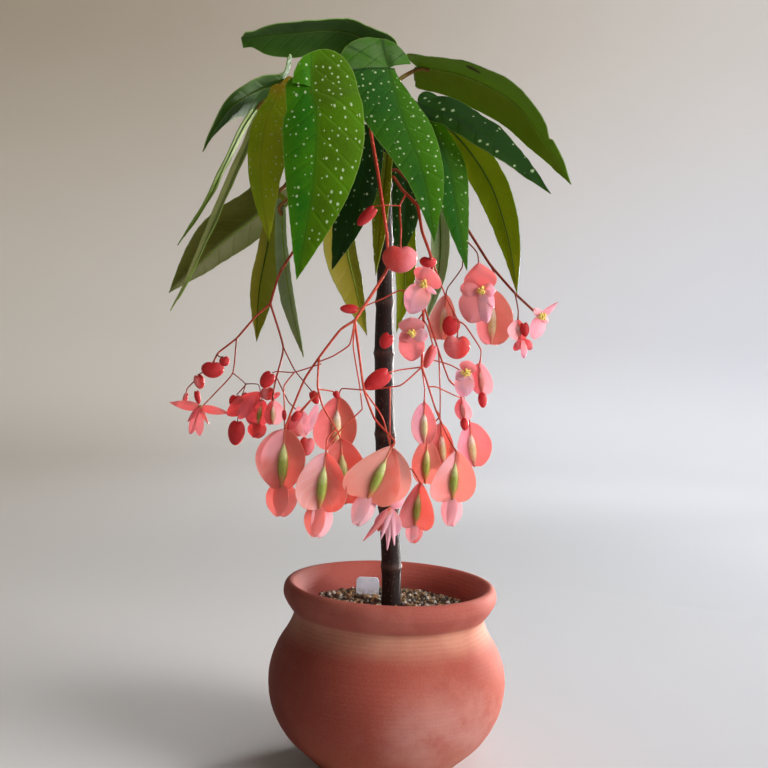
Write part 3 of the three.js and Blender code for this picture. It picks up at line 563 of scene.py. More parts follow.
# leaf_01 to leaf_20, each with: the heel, the midrib from the junction to the tip, the way the face looks at
# both ends, how many degrees the right and the left half fold up, the two halves (width, share of it at the
# base, where it is widest, taper, lobe, and how far the lobe overlaps), where the petiole leaves and what it
# passes, upper side, underside, how much the margin waves, and the raised rib below
LEAVES = [
    ((-51, -45, 372), [(-50, -52, 346), (-46, -57, 329), (-46, -63, 294), (-52, -60, 251)],
     [(0.05, -1, 0.25), (0, -1, 0)], (4, 4), (16.5, 0.75, 0.22, 0.95, 0), (23, 1, 0.25, 0.85, 22, 9),
     (352, -150), [(-34, -16, 357), (-45, -34, 354)], BRIGHT, UNDER_MOSS, 0.7, RIB_LIGHT),
    ((-19, -12, 392), [(-13, -32, 364), (-4, -45, 334), (7, -55, 303), (13, -58, 272)],
     [(0.15, -1, 0.35), (0.1, -1, 0)], (4, 4), (25, 1, 0.05, 0.6, 26, 12), (13, 0.25, 0.42, 1, 0), (358, -90),
     [(-14, -18, 360)], DEEP, UNDER_MOSS, 0.7, RIB_LIGHT),
    ((-13, 36, 397), [(-20, 30, 400), (-41, 26, 405), (-67, 14, 398), (-95, 4, 390)],
     [(0, 0.45, 1), (0, 0.35, 1)], (-6, -6), (16, 0.8, 0.4, 2.2, 6), (15, 0.8, 0.4, 2.2, 6), (374, 90),
     [(-17, 18, 384)], DEEP, UNDER_DARK, 0.9, RIB_DARK),
    ((0, 16, 384), [(4, 14, 382), (29, 8, 376), (55, -4, 359), (72, -12, 335), (86, -15, 313)],
     [(0.2, 0.45, 1), (0.7, 0.4, 0.6)], (-6, -6), (17, 0.7, 0.45, 1.1, 5), (17, 0.8, 0.35, 1, 6), (368, 40),
     [(-5, 8, 374)], DEEP, UNDER_TWO, 1.2, RIB_LIGHT),
    ((0, -6, 373), [(4, -12, 353), (21, -20, 345), (36, -30, 333), (51, -36, 320), (71, -40, 302)],
     [(0.1, -1, 0.4), (0.2, -1, 0.4)], (4, 4), (8, 0.8, 0.3, 1, 4), (12.5, 1, 0.3, 1, 8), (347, -45),
     [(-4, -7, 350)], SLATE, UNDER_OLIVE, 1.8, RIB_DARK),
    ((12, 18, 358), [(18, 20, 354), (35, 22, 338), (49, 22, 317), (59, 18, 287), (64, 12, 257)],
     [(0.3, 0.9, 0.4), (0.3, 0.9, 0.3)], (4, 4), (10, 0.8, 0.4, 1, 5), (10, 0.8, 0.3, 1, 5), (350, 20),
     [(3, 7, 355)], GREEN, UNDER_OLIVE, 0.8, RIB_DARK),
    ((7, -10, 350), [(10, -14, 342), (20, -28, 317), (25, -36, 290), (31, -38, 262)],
     [(0.1, -1, 0.2), (0.1, -1, 0.1)], (4, 4), (10, 0.8, 0.3, 1, 5), (9, 0.8, 0.3, 1, 5), (331, -40),
     [(-1, -8, 337)], GREEN, UNDER_OLIVE, 0.8, RIB_DARK),
    ((-71, -24, 360), [(-68, -28, 353), (-73, -40, 330), (-73, -48, 301), (-68, -46, 271)],
     [(-0.3, -1, 0.3), (-0.2, -1, 0)], (4, 4), (8, 0.7, 0.35, 1, 4), (14, 0.6, 0.35, 1, 5), (0.86, -90),
     [(-65, -6, 350), (-67, -20, 351)], OLIVE, UNDER_MOSS, 1.6, RIB_LIGHT),
    ((-63, -4, 383), [(-69, -8, 364), (-82, -16, 355), (-93, -26, 343), (-101, -32, 328), (-105, -34, 317)],
     [(-0.4, 0.3, 1), (-0.9, 0.2, 0.5)], (4, 4), (13, 0.6, 0.4, 1, 5), (13, 0.6, 0.4, 1, 14), (0.97, -60),
     [(-66, 1, 360)], UNDER_DARK, UNDER_DARK, 0.8, RIB_DARK),
    ((-80, 10, 364), [(-83, 8, 358), (-92, 4, 341), (-100, 0, 320), (-110, 0, 297), (-124, 0, 274)],
     [(-1, -0.05, 0.55), (-1, -0.05, 0.55)], (8, 8), (8, 0.8, 0.3, 1, 5), (8, 0.8, 0.3, 1, 5), (0.97, 170),
     [(-75, 11, 358)], UNDER_DARK, UNDER_MOSS, 0.7, RIB_DARK),
    ((-76, -14, 352), [(-79, -16, 344), (-87, -26, 316), (-99, -32, 280), (-110, -32, 252),
     (-119, -30, 236)], [(-1, -0.5, 0.3), (-1, -0.5, 0.3)], (14, 14), (11, 0.8, 0.3, 1, 5),
     (11, 0.8, 0.3, 1, 5), (0.66, -120), [(-65, -2, 337)], STRIP, STRIP, 0.6, RIB_LIGHT),
    ((-72, 52, 325), [(-77, 50, 316), (-91, 56, 302), (-110, 60, 287), (-125, 60, 272), (-141, 54, 253)],
     [(-0.4, 0.75, 0.5), (-0.4, 0.75, 0.5)], (-30, -4), (12, 0.8, 0.3, 1, 5), (22, 0.8, 0.38, 1, 5),
     (0.62, 100), [(-61, 32, 330)], DARK, UNDER_HALF, 0.8, RIB_LIGHT),
    ((-75, 34, 317), [(-77, 38, 312), (-81, 48, 287), (-85, 46, 256), (-84, 36, 225)],
     [(0.2, 0.9, 0.1), (0.1, 0.9, 0.1)], (-14, -6), (13, 0.7, 0.5, 1, 3), (6, 0.7, 0.5, 1, 3), (0.42, 120),
     [(-60, 24, 321)], DARK, UNDER_BROWN, 0.8, RIB_DARK),
    ((-70, 22, 309), [(-71, 26, 304), (-70, 32, 282), (-65, 36, 250), (-56, 36, 217)],
     [(0.3, 0.9, 0.1), (0.3, 0.9, 0.1)], (-30, -10), (5, 0.7, 0.5, 1, 3), (6, 0.7, 0.5, 1, 3), (0.25, 135),
     [(-53, 17, 314)], GREEN, UNDER_PALE, 0.7, RIB_LIGHT),
    ((-20, -10, 344), [(-21, -12, 338), (-24, -17, 315), (-30, -22, 287), (-38, -18, 262)],
     [(-0.1, -1, 0.1), (-0.1, -1, 0.1)], (4, 4), (12, 0.8, 0.4, 1, 3), (10, 0.8, 0.4, 1, 3), (338, -110), [],
     DARK, UNDER_MOSS, 0.8, RIB_DARK),
    ((-13, -7, 330), [(-12, -9, 325), (-13, -14, 305), (-14, -19, 281), (-15, -18, 260)],
     [(-0.3, -1, 0.1), (-0.3, -1, 0.1)], (30, 30), (5, 0.8, 0.4, 1, 3), (5, 0.8, 0.4, 1, 3), (325, -90), [],
     GOLD, UNDER_MOSS, 0.6, RIB_LIGHT),
    ((-31, 54, 317), [(-33, 58, 312), (-35, 66, 289), (-28, 70, 261), (-20, 68, 233)],
     [(0, 1, 0.1), (0, 1, 0.1)], (-10, -10), (6, 0.8, 0.4, 1, 3), (15, 0.9, 0.3, 1, 3), (328, 110),
     [(-26, 32, 329)], DARK, UNDER_BROWN, 0.8, RIB_LIGHT),
    ((0, 46, 320), [(0, 50, 315), (1, 60, 292), (2, 66, 262), (-2, 64, 235)], [(0, 1, 0.1), (0, 1, 0.1)],
     (-10, -10), (7, 0.8, 0.4, 1, 3), (7, 0.8, 0.4, 1, 3), (320, 100), [(-15, 15, 322), (-8, 33, 325)], DARK,
     UNDER_OLIVE, 0.8, RIB_LIGHT),
    ((17, 40, 325), [(18, 44, 320), (22, 52, 298), (22, 56, 271), (16, 54, 243)],
     [(0.2, 1, 0.1), (0.2, 1, 0.1)], (-10, -10), (6, 0.8, 0.4, 1, 3), (6, 0.8, 0.4, 1, 3), (354, 70),
     [(-4, 20, 354), (10, 34, 341)], DARK, UNDER_PALE, 0.8, RIB_DARK),
    ((-4, 12, 339), [(-3, 13, 334), (-1, 14, 318), (-1, 14, 296), (-4, 12, 271)],
     [(0.1, -1, 0.1), (0.1, -1, 0.1)], (10, 10), (9, 0.8, 0.4, 1, 3), (9, 0.8, 0.4, 1, 3), (340, 60),
     [(-6, 16, 342)], DARK, UNDER_MOSS, 0.6, RIB_DARK),
]
# Leaves that are seen from above
FRONT_LEAVES = (1, 2, 7, 8, 15, 16)
# Torn or cut places: the least share of the width towards the tip, how soon a leaf narrows to a thin tail,
# and a nick in the right half (share, depth)
BLUNT = {3: 0.42}
TAILS = {9: 0.5}
NICKS = {4: (0.78, 4.5)}
# The right half of this leaf goes on behind the ear that overlaps it
TUCKED = {1: (16.5, 0.75, 0.22, 0.95, 6)}


class Midrib:
    """A point and a frame for each distance from the leaf's junction, negative behind it."""

    def __init__(self, heel, rib, face):
        line = spline([heel] + rib, 0.8)
        joint = min(range(len(line)), key=lambda i: (line[i] - Vector(rib[0])).length)
        self.track = Track(line)
        self.behind = self.track.far[joint]
        self.front = self.track.length - self.behind
        self.face = [Vector(f) for f in face]

    def at(self, y):
        point, along = self.track.at(self.behind + y)
        face = self.face[0].lerp(self.face[1], min(max(y / self.front, 0), 1))
        side = along.cross(face).normalized()
        return point, side, side.cross(along)


def half_rows(half, front, blunt, tail, nick):
    """The outline of one half: where each row leaves the midrib, and how far across and along it ends."""
    width, base, wide, taper, lobe, *over = half
    over = over[0] if over else 0
    outer = width * base
    rows = []
    if lobe > 0:
        for k in range(0 if over > 0 else 1, LOBE_ROWS):
            a = 0.98 * math.pi * (1 - k / LOBE_ROWS)
            rows.append((0, (outer - over) / 2 + (outer + over) / 2 * math.cos(a), -lobe * math.sin(a)))
    for k in range(SIDE_ROWS + 1):
        t = k / SIDE_ROWS
        if t > wide:
            narrow = ((t - wide) / (1 - wide)) ** (tail or taper)
            f = max(math.cos(math.pi / 2 * narrow), blunt if k < SIDE_ROWS else 0)
        else:
            f = base + (1 - base) * (1 - math.cos(math.pi * t / wide)) / 2
        cut = nick[1] * max(1 - abs(t - nick[0]) / 0.025, 0) if nick else 0
        rows.append((front * t ** 1.25, width * f - cut, t * front))
    return rows


def blade_grid(rib, half, sign, lift, wave, seed, *shape):
    """Rows of spots for one half of a blade. The sign is 1 on the right and -1 on the left."""
    rows = []
    for root, x_end, y_end in half_rows(half, rib.front, *shape):
        row = []
        for j in range(ACROSS + 1):
            v = j / ACROSS
            x, y = x_end * v, root + (y_end - root) * v
            point, side, up = rib.at(y)
            bend = math.radians(lift) + CURL * min(abs(x) / half[0], 1.2) / 2
            rise = wave * v ** 2 * noise.noise(Vector((y * 0.08, seed, 3.1 * sign)))
            rise += 0.3 * v * (1 - v) * math.sin((y - 0.9 * abs(x)) * 2 * math.pi / 12.5)
            rise *= min(abs(x) / 4, 1)
            if len(half) > 5:
                rise += 1.4 * min(max(-x / 3, 0), 1)
            tooth = 0.35 * v ** 6 * noise.noise(Vector((y * 0.28, seed + 5, sign)))
            point = point + side * sign * (x * math.cos(bend) + tooth) + up * (abs(x) * math.sin(bend) + rise)
            row.append((point, (sign * x / 10, y / 10, v)))
        rows.append(row)
    return rows[::sign]


def leaf_piece(number, heel, midrib, face, fold, right, left, root, via, upper, under, wave, rib_skin):
    name = f"leaf_{number:02d}"
    rib = Midrib(heel, midrib, face)
    build = Build()
    seed = 7.3 * (number - 1)
    torn = BLUNT.get(number, 0), TAILS.get(number)
    grids = [blade_grid(rib, TUCKED.get(number, right), 1, fold[0], wave, seed, *torn, NICKS.get(number)),
             blade_grid(rib, left, -1, fold[1], wave, seed, *torn, None)]
    build.shell(grids, upper, BLADE, under)
    joint, _, joint_up = rib.at(0)
    near, _, near_up = rib.at(6)
    # A petiole leaves the cane (height, bearing) or the side shoot (share of its length, bearing)
    place, bearing = root
    if place > 1:
        start = from_cane(place, bearing)
    else:
        start = leave(*shoot.at(place * shoot.length), SHOOT_RADIUS, bearing)
    line = spline(start + via + [joint - joint_up * 1.8, near - near_up * 1.2], 1.2)
    last = len(line) - 1
    tube(build, line, [PETIOLE * (1.15 - 0.3 * i / last) for i in range(last + 1)], petiole_skin)
    stop = 0.94 * rib.front
    steps = [4 + (stop - 4) * k / 40 for k in range(41)]
    frames = [rib.at(y) for y in steps]
    tube(build, [point - up * 0.42 for point, _, up in frames],
         [0.5 * max(1 - y / stop, 0) ** 0.8 + 0.12 for y in steps], rib_skin, 8)
    slot = "leaf_front" if number in FRONT_LEAVES else "leaf_under"
    settle(build.piece(name + "_skin"), name)


for number, leaf in enumerate(LEAVES, 1):
    leaf_piece(number, *leaf)


# Flower materials

def petal_paint(name, left, right=None, edge="f6c0b0", streak=0.05, band=0.0, ovary="b0a060", through=0.5):
    """left and right are (upper, lower) colours. tag: share across, negative on the left, share along, and
    closeness to the ovary."""
    p = Paint(name)
    across, along, near = p.tag()
    out = abs(across)
    fall = p.step(along + 0.9 * (p.noise(70) - 0.5), 0.25, 0.85)
    vein = p.step(p.lines(6 * along - 2 * out + 0.9 * p.noise(220)), 0.3, 0.5)
    # Where right colours are given, the right wing is laid over in them. The paler left colours are partly a
    # painted sheen, the deeper right ones partly painted shade.
    p.colour = p.mix(fall, *left)
    if right:
        p.lay(p.step(across, -0.04, 0.04), p.mix(fall, *right))
    p.lay(0.22 * p.patches(150, 3, 0.4, 0.7), edge)
    p.lay(streak * vein * (0.25 + 0.75 * (across < 0)), "fbe4e2")
    if band:
        p.lay(band * p.step(out, 0.78, 0.84) * (1 - p.step(along, 0.5, 0.75)) * (across < 0), "cc5446")
    p.lay(0.14, "f2b8c4")
    p.lay(0.7 * near, ovary)
    p.lay(0.3 * p.step(out, 0.9, 1.0), edge)
    p.thin(through, p.mix(0.3, p.colour, "fab0b0"))
    return p.finish(0.5 * vein + p.noise(300, 3), 0.22, 0.0003, 0.36 + 0.16 * p.noise(240), 0.35)


def ovary_paint(name, low, middle, high):
    """tag: share of the height, radius and share of a turn."""
    p = Paint(name)
    height, _, turn = p.tag()
    height = height + 0.2 * (p.noise(260) - 0.5)
    rib = p.step(p.lines(6 * turn), 0.36, 0.5)
    p.colour = p.mix(p.step(height, 0.08, 0.3), low, middle)
    p.lay(p.step(height, 0.42, 0.62), high)
    p.lay(p.step(height, 0.66, 0.76), "dc7866")
    p.lay(0.3 * rib, "dcd890")
    p.lay(0.2 * p.patches(600, 2, 0.4, 0.7), "6b7a2c")
    p.glow(0.2, 0.003, 0.002, 0.001)
    return p.finish(rib + 0.3 * p.noise(700), 0.3, 0.0004, 0.42)


def bud_paint(name, left, right, patch):
    """left and right are the two lobes, and patch is the deep colour between them. tag: share across."""
    p = Paint(name)
    across = p.tag()[0]
    p.colour = p.mix(p.step(across + 0.8 * (p.noise(160) - 0.5), -0.3, 0.6), left, right)
    p.lay(0.5 * p.patches(200, 3, 0.4, 0.66), patch)
    p.lay(0.15 * p.patches(1100, 2, 0.45, 0.7), right)
    p.glow(0.3, 0.004, 0.001, 0.0008)
    return p.finish(p.noise(420, 4), 0.25, 0.0003, 0.42 + 0.16 * p.noise(260), 0.35)


def stamen_paint():
    p = Paint("stamens")
    p.colour = p.mix(p.patches(1200, 2, 0.35, 0.7), "f6d65a", "fcf0a0")
    return p.finish(p.noise(3000), 0.5, 0.0002, 0.6)


CORAL_FALL = ("f2806e", "ee765e")
CORAL = petal_paint("petal_coral", CORAL_FALL, ("f4947e", "f08870"))
DEEP_CORAL = petal_paint("petal_deep", ("e86c5a", "ee7660"), through=0.3)
FOLDED = petal_paint("petal_folded", ("f6bcc2", "ee8c7c"), ("f08a74", "f4907c"), band=0.7)
STREAKED = petal_paint("petal_streaked", ("f8ccd2", "f4b4a8"), CORAL_FALL, streak=0.35)
SALMON = petal_paint("petal_salmon", ("f8bcaa", "f2a48e"), ("f07c60", "f2957a"))
PALE = petal_paint("petal_pale", ("fad0d6", "f6b2a6"), ("f8c0b0", "f6b4a2"), streak=0.12)
LILAC = petal_paint("petal_lilac", ("f8bcd0", "f4a8b8"), ("f6b0b4", "f4a09c"), streak=0.1)
ROSE = petal_paint("petal_rose", ("f08280", "f29290"))
BLUSH = petal_paint("petal_blush", ("f49c9e", "f8aaae"), edge="fcc8c8")
LIGHT = petal_paint("petal_light", ("fcd0d8", "fee0e6"), edge="feeaee", streak=0.15)
SKIRT = petal_paint("petal_skirt", ("fca294", "fcb0a6"), edge="fcc0b8")
MILKY = petal_paint("petal_milky", ("f6b8b4", "f6c8dc"), ("f8c4c8", "f8d0e4"), edge="fae2ee", streak=0.2)
SUNSET = petal_paint("petal_sunset", ("e8b4a8", "e0a08e"), ("dea898", "d48e78"), ovary="d8c080", through=0.35)
WHITE_PINK = petal_paint("petal_white", ("fcd2e0", "fcdce8"), edge="f0a0c0", streak=0.25)
CRIMSON = petal_paint("petal_crimson", ("e0443c", "d63430"), ("ea5c56", "e04440"), edge="f07068")
RASPBERRY = petal_paint("petal_raspberry", ("e4525a", "ec7078"), edge="f49a9c")
ovary_skin = ovary_paint("ovary", "cc7850", "96a03e", "ccd090")
pale_skin = ovary_paint("ovary_pale", "e09080", "dccc9c", "f4ece0")
young_skin = ovary_paint("ovary_young", "d65a50", "e0908c", "f0c4c0")
yellow = stamen_paint()
RED_BUD = bud_paint("bud_red", "c4242a", "d63c40", "b81c20")
TWO_TONE = bud_paint("bud_two_tone", "d8443c", "ea8088", "dc5450")
PINK_RED = bud_paint("bud_pink_red", "e47c7e", "cc2a28", "d8403c")


# Flowers

WING, PETAL = 0.22, 0.3
# Outline of a wing that is broad near the top, and of one that is broad near the bottom: share of its reach
# and of its length. GIRTH is the ovary's radius against the same share of the length.
HEART = [(0.06, -0.01), (0.42, -0.07), (0.74, -0.2), (0.95, -0.36), (1, -0.49), (0.93, -0.64), (0.76, -0.78),
         (0.55, -0.89), (0.34, -0.97)]
BELL = [(0.06, -0.01), (0.26, -0.1), (0.48, -0.24), (0.7, -0.4), (0.88, -0.57), (1, -0.76), (0.93, -0.93),
        (0.65, -1.02), (0.34, -1)]
GIRTH = [(0, -0.99), (0.6, -0.97), (0.8, -0.92), (1.3, -0.85), (2.1, -0.75), (2.5, -0.62), (2.4, -0.5),
         (1.8, -0.38), (1, -0.31), (0.55, -0.24), (0.45, -0.12), (0.5, 0), (0, 0.02)]
# Outline of the neck of an open flower and of a stamen: radius and height
NECK = [(0, -3.4), (0.9, -3.2), (1.5, -2.2), (1.2, -0.8), (0.9, 0), (0, 0.05)]
STAMEN = [(0, -2.6), (0.4, -2.4), (0.56, -1.9), (0.42, -1.3), (0.18, -1.0), (0.15, 0), (0, 0.02)]

# Winged flowers, flower_01 to flower_15: top, bottom, the petals below (width, length, left and right
# material) or None, and the wings (bearing, reach, bend towards the viewer, how low it is broadest, material)
WINGED = [
    ((-57, -38, 179), (-57, -40, 148), (15.5, 13, SKIRT, SKIRT), [(180, 13.5, 5, 0.0, FOLDED),
     (0, 11.5, 3, 0.05, FOLDED), (95, 8, 1, 0.3, CORAL)]),
    ((-35, -50, 169), (-37, -52, 140), (13.5, 12.5, SKIRT, LIGHT), [(180, 12.8, 5, 0.5, STREAKED),
     (0, 13, 2, 0.6, STREAKED), (80, 8, 1, 0.3, CORAL)]),
    ((-29, -32, 175), (-25, -34, 141), None, [(180, 11, 2, 0.3, DEEP_CORAL), (0, 12.5, 4, 0.25, DEEP_CORAL),
     (70, 7, 1, 0.3, CORAL)]),
    ((-3, -48, 173), (-14, -50, 146), (10.5, 13, LIGHT, LIGHT), [(180, 15, 5, 1.0, SALMON),
     (0, 13, -2, 0.75, SALMON), (32, 17, 5, 0.2, PALE)]),
    ((16, -14, 176), (16, -14, 151), None, [(180, 8, 3, 0.3, CORAL), (0, 8, 2, 0.5, PALE),
     (90, 5, 1, 0.3, ROSE)]),
    ((30, -32, 171), (29, -34, 145), (10.5, 12, LIGHT, LIGHT), [(180, 12, 4, 0.9, PALE),
     (0, 11.5, 2.5, 0.45, PALE), (60, 7, 2, 0.3, CORAL)]),
    ((39, -2, 185), (43, -2, 160), None, [(180, 8.5, 2, 0.4, LILAC), (0, 10.5, 4, 0.15, LILAC),
     (80, 6, 1, 0.3, LIGHT)]),
    ((23, -8, 184), (26, -8, 160), None, [(180, 10.5, 2, 0.3, ROSE), (0, 6, 3, 0.3, CORAL),
     (110, 6, 1, 0.3, ROSE)]),
    ((13, -20, 153), (11, -22, 129), (8.5, 7.5, LIGHT, ROSE), [(180, 9, 4, 0.9, ROSE),
     (0, 9.5, 3, 0.95, CORAL), (90, 5, 1, 0.3, ROSE)]),
    ((-32, -18, 196), (-32, -18, 167), None, [(180, 12.5, 3, 0.5, ROSE), (0, 11, 2, 0.3, CORAL),
     (90, 6, 1, 0.3, ROSE)]),
    ((13, -24, 195), (14, -24, 173), None, [(180, 7, 3, 0.2, LILAC), (0, 6.5, 2, 0.4, LILAC),
     (60, 5, 1, 0.3, ROSE)]),
    ((23, -6, 253), (22, -6, 228), None, [(180, 8.5, 2, 0.6, SUNSET), (0, 6.5, 3, 0.4, SUNSET),
     (90, 5, 1, 0.3, SUNSET)]),
    ((49, 4, 258), (50, 4, 227), None, [(180, 9, 2, 0.4, BLUSH), (0, 11.5, 5, 0.35, SUNSET),
     (70, 7, 3, 0.6, CORAL)]),
    ((-76, 14, 192), (-78, 14, 177), (10, 7, CRIMSON, CRIMSON), [(180, 7.5, 3, 0.6, RASPBERRY),
     (0, 5.5, 3, 0.5, RASPBERRY), (60, 6, 2, 0.3, CRIMSON)]),
    ((-69, 6, 192), (-68.5, 6, 178), None, [(180, 4.5, 2, 0.4, CRIMSON), (0, 7, 2, 0.2, LIGHT),
     (90, 5, 1, 0.3, CRIMSON)]),
]
PALE_OVARIES = (7, 8, 10, 11, 12, 13, 15)
# Closed buds: top, bottom, width, thickness, material and depth of the notch
BUDS = {
    1: ((-3, -42, 273), (-3, -42, 259), 17.5, 8, TWO_TONE, 0.1),
    2: ((29, -20, 231), (29, -20, 218), 14, 6, PINK_RED, 0.16),
    3: ((17, -29, 225), (12.5, -29, 212.5), 5.5, 5, TWO_TONE, 0.1),
    7: ((-105, 16, 212), (-105, 16, 202.5), 13, 6, RED_BUD, 0.08),
    8: ((-89, 12, 180), (-90, 12, 165.5), 9.5, 6, RED_BUD, 0.08),
}
# Young flowers, half open, bud_04 to bud_06: top, bottom of the wings, reach of the left and right wing, the
# bud that hangs below them (width, length), and the materials of the left wing, the right wing and that bud
YOUNG = [
    ((62, -8, 241), (63.5, -8, 230), 6.5, 4, (3, 5), LIGHT, ROSE, PINK_RED),
    ((42, -14, 217), (44, -14, 200), 6.5, 6, (4.8, 7), RASPBERRY, LIGHT, RED_BUD),
    ((33, -14, 198), (35, -14, 186), 4.5, 4.5, (4.5, 5.5), RASPBERRY, LIGHT, RED_BUD),
]
# Open flowers, open_01 to open_07: centre, and the petals (step sideways, towards the back and up, width,
# bluntness, claw, material)
OPEN = [
    ((10, -20, 256), [((-6.5, -1.5, -15), 13.5, 0.46, 0.4, MILKY), ((4.5, -3, 7.5), 16.5, 0.5, 0.6, BLUSH),
     ((7, -1, -4.5), 2.8, 0.55, 0.8, WHITE_PINK), ((-4, 1, 3), 4, 0.5, 0.8, LIGHT)]),
    ((5, -24, 230), [((0.5, -1.5, -14), 13.5, 0.48, 0.35, BLUSH), ((-1, -3, 8), 13, 0.6, 0.5, BLUSH),
     ((8.5, -1, -1), 7, 0.55, 0.6, WHITE_PINK), ((-6, 0, -4), 7, 0.5, 0.6, BLUSH)]),
    ((41, -14, 255), [((-5.5, -2, -17), 18, 0.5, 0.3, BLUSH), ((-2, -2, 14.5), 17, 0.38, 0.5, ROSE),
     ((-11, -1, 1), 10, 0.5, 0.5, BLUSH), ((3.5, -1.5, -17), 7, 0.6, 0.6, MILKY),
     ((7, -2, -9), 7, 0.42, 0.5, WHITE_PINK), ((7, -2, 0), 7.5, 0.5, 0.6, MILKY)]),
    ((34, -22, 211), [((-1, -1.5, -12.5), 10, 0.5, 0.35, MILKY), ((2, -2, 6), 9, 0.55, 0.6, BLUSH),
     ((-5, -1, -3), 6, 0.55, 0.6, WHITE_PINK), ((3.5, 0, -3), 3.5, 0.5, 0.8, LIGHT)]),
    ((74, -10, 243), [((-3.5, -1, -12), 8, 0.5, 0.5, WHITE_PINK), ((8.5, -2, 8), 3, 0.35, 0.8, WHITE_PINK),
     ((-4, -1, 4), 4, 0.5, 0.8, LIGHT), ((4, 0, -3), 3, 0.5, 0.8, LIGHT)]),
    ((-2, -40, 142), [((-3, -1, -13), 12, 0.62, 0.6, WHITE_PINK), ((2.5, -2, -14), 8, 0.6, 0.6, MILKY),
     ((-1, -3, -21), 3.6, 0.3, 0.8, WHITE_PINK), ((2.5, -3, -18.5), 2.8, 0.3, 0.8, WHITE_PINK),
     ((-4.5, -3, -16), 2.6, 0.3, 0.8, WHITE_PINK), ((6, -1, 6), 5.5, 0.45, 0.8, WHITE_PINK),
     ((-13, -1, -17), 2.8, 0.4, 0.8, BLUSH), ((-6, 1, -12), 4, 0.5, 0.8, SALMON)]),
    ((-110.5, 14, 185.7), [((-17.5, 0, 2), 5, 0.38, 0.8, ROSE), ((16, 0, -2.5), 4.4, 0.4, 0.8, ROSE),
     ((-5, -1, -15), 4.6, 0.55, 0.8, BLUSH), ((0.5, -2, -15.5), 5, 0.6, 0.8, BLUSH),
     ((5.5, -2, -9), 2, 0.4, 0.8, ROSE), ((-6, -2.5, -8), 2.6, 0.4, 0.8, RASPBERRY)]),
]
# How many stamens show, in open_01 to open_05
STAMENS = {1: 26, 2: 24, 3: 30, 4: 24, 5: 26}
# For each flower, the last two points of the stalk that holds it
holds = {}


def hold(name, top, bottom, dip):
    """A stalk comes from above the top and ends a little way into the flower."""
    away = (Vector(top) - Vector(bottom)).normalized()
    holds[name] = [Vector(top) + away * 3, Vector(top) - away * dip]


def wing(build, length, seed, bearing, reach, bend, low, mat):
    """A thin sheet that stands out from the ovary. bend brings its margin towards the viewer."""
    edge = [(a * (1 - low) + c * low, 0, b * (1 - low) + d * low) for (a, b), (c, d) in zip(HEART, BELL)]
    outline = Track(spline(edge, 0.02))
    a = math.radians(bearing)
    out, side = Vector((math.cos(a), math.sin(a), 0)), Vector((math.sin(a), -math.cos(a), 0))
    side = side if side.y <= 0 else -side
    sign = 1 if out.x >= 0 else -1
    rows = []
    for i in range(29):
        u = i / 28
        end, _ = outline.at(u * outline.length)
        root = -0.02 - 0.95 * u
        row = []
        for j in range(ACROSS + 1):
            v = j / ACROSS
            x = 0.3 + (end.x * reach - 0.3) * v
            z = (root + (end.z - root) * v) * length
            curl = bend * v ** 1.7 * (0.4 + 0.6 * math.sin(math.pi * u))
            curl += 2.0 * v ** 1.5 * noise.noise(Vector((u * 1.7, 0.6 * v, seed)))
            curl += 0.8 * v ** 3 * noise.noise(Vector((u * 6, v, seed + 9)))
            close = max(1 - v * 3.2, 0) * max(math.sin(math.pi * min(max((u - 0.25) / 0.6, 0), 1)), 0)
            row.append((out * x + side * curl + Vector((0, 0, z)), (sign * v, u, close)))
        rows.append(row)
    build.shell([rows[::sign]], mat, WING)


def round_petal(build, base, tip, front, width, cup, mat, seed, point, claw):
    """A cupped petal from base to tip. point is where it is widest: below 0.42 the tip is sharp. claw is how
    much the base narrows."""
    base, tip = Vector(base), Vector(tip)
    along = (tip - base).normalized()
    side = along.cross(Vector(front)).normalized()
    face = side.cross(along)
    length = (tip - base).length
    blunt = 0.58 if point > 0.42 else 0.9
    rows = []
    for i in range(25):
        t = (1 - math.cos(math.pi * i / 24)) / 2
        swell = math.sin(math.pi * t ** (math.log(0.5) / math.log(point)))
        half = width / 2 * max(swell, 0) ** (blunt if t > point else claw) + 0.3 * (1 - t)
        row = []
        for j in range(ACROSS + 1):
            s = 2 * j / ACROSS - 1
            lift = cup * (math.sin(math.pi * min(t * 0.9, 1)) - 0.8 * s * s * t)
            lift += 0.6 * noise.noise(Vector((t * 2.2, s * 1.2, seed))) * t
            rim = half * (1 + 0.05 * noise.noise(Vector((t * 3, 2 + (s > 0), seed))))
            row.append((base + along * length * t + side * s * rim + face * lift, (s, t, 0)))
        rows.append(row)
    build.shell([rows], mat, PETAL)


def winged_flower(number, top, bottom, skirt, wings):
    name, seed = f"flower_{number:02d}", (number - 1) * 3.7
    length = (Vector(bottom) - Vector(top)).length
    build = Build()
    girth = min(length / 30, 1.1)
    turned(build, [(r * girth, z * length) for r, z in GIRTH],
           pale_skin if number in PALE_OVARIES else ovary_skin, 20)
    for bearing, *shape in wings:
        wing(build, length, seed + bearing * 0.1, bearing, *shape)
    if skirt:
        width, fall, *mats = skirt
        for k, (sign, mat) in enumerate(zip((-1, 1), mats)):
            base = (0.08 * sign * width, 0.6 + 1.3 * k, -0.9 * length)
            tip = (0.12 * sign * width, 0.2 * k, -length - fall)
            round_petal(build, base, tip, (0.3 * sign, -1, 0), 0.78 * width, 2.2, mat, seed + k, 0.46, 0.4)
    build.place(top, bottom)
    hold(name, top, bottom, 0.4)
    settle(build.piece(name + "_bloom"), name)


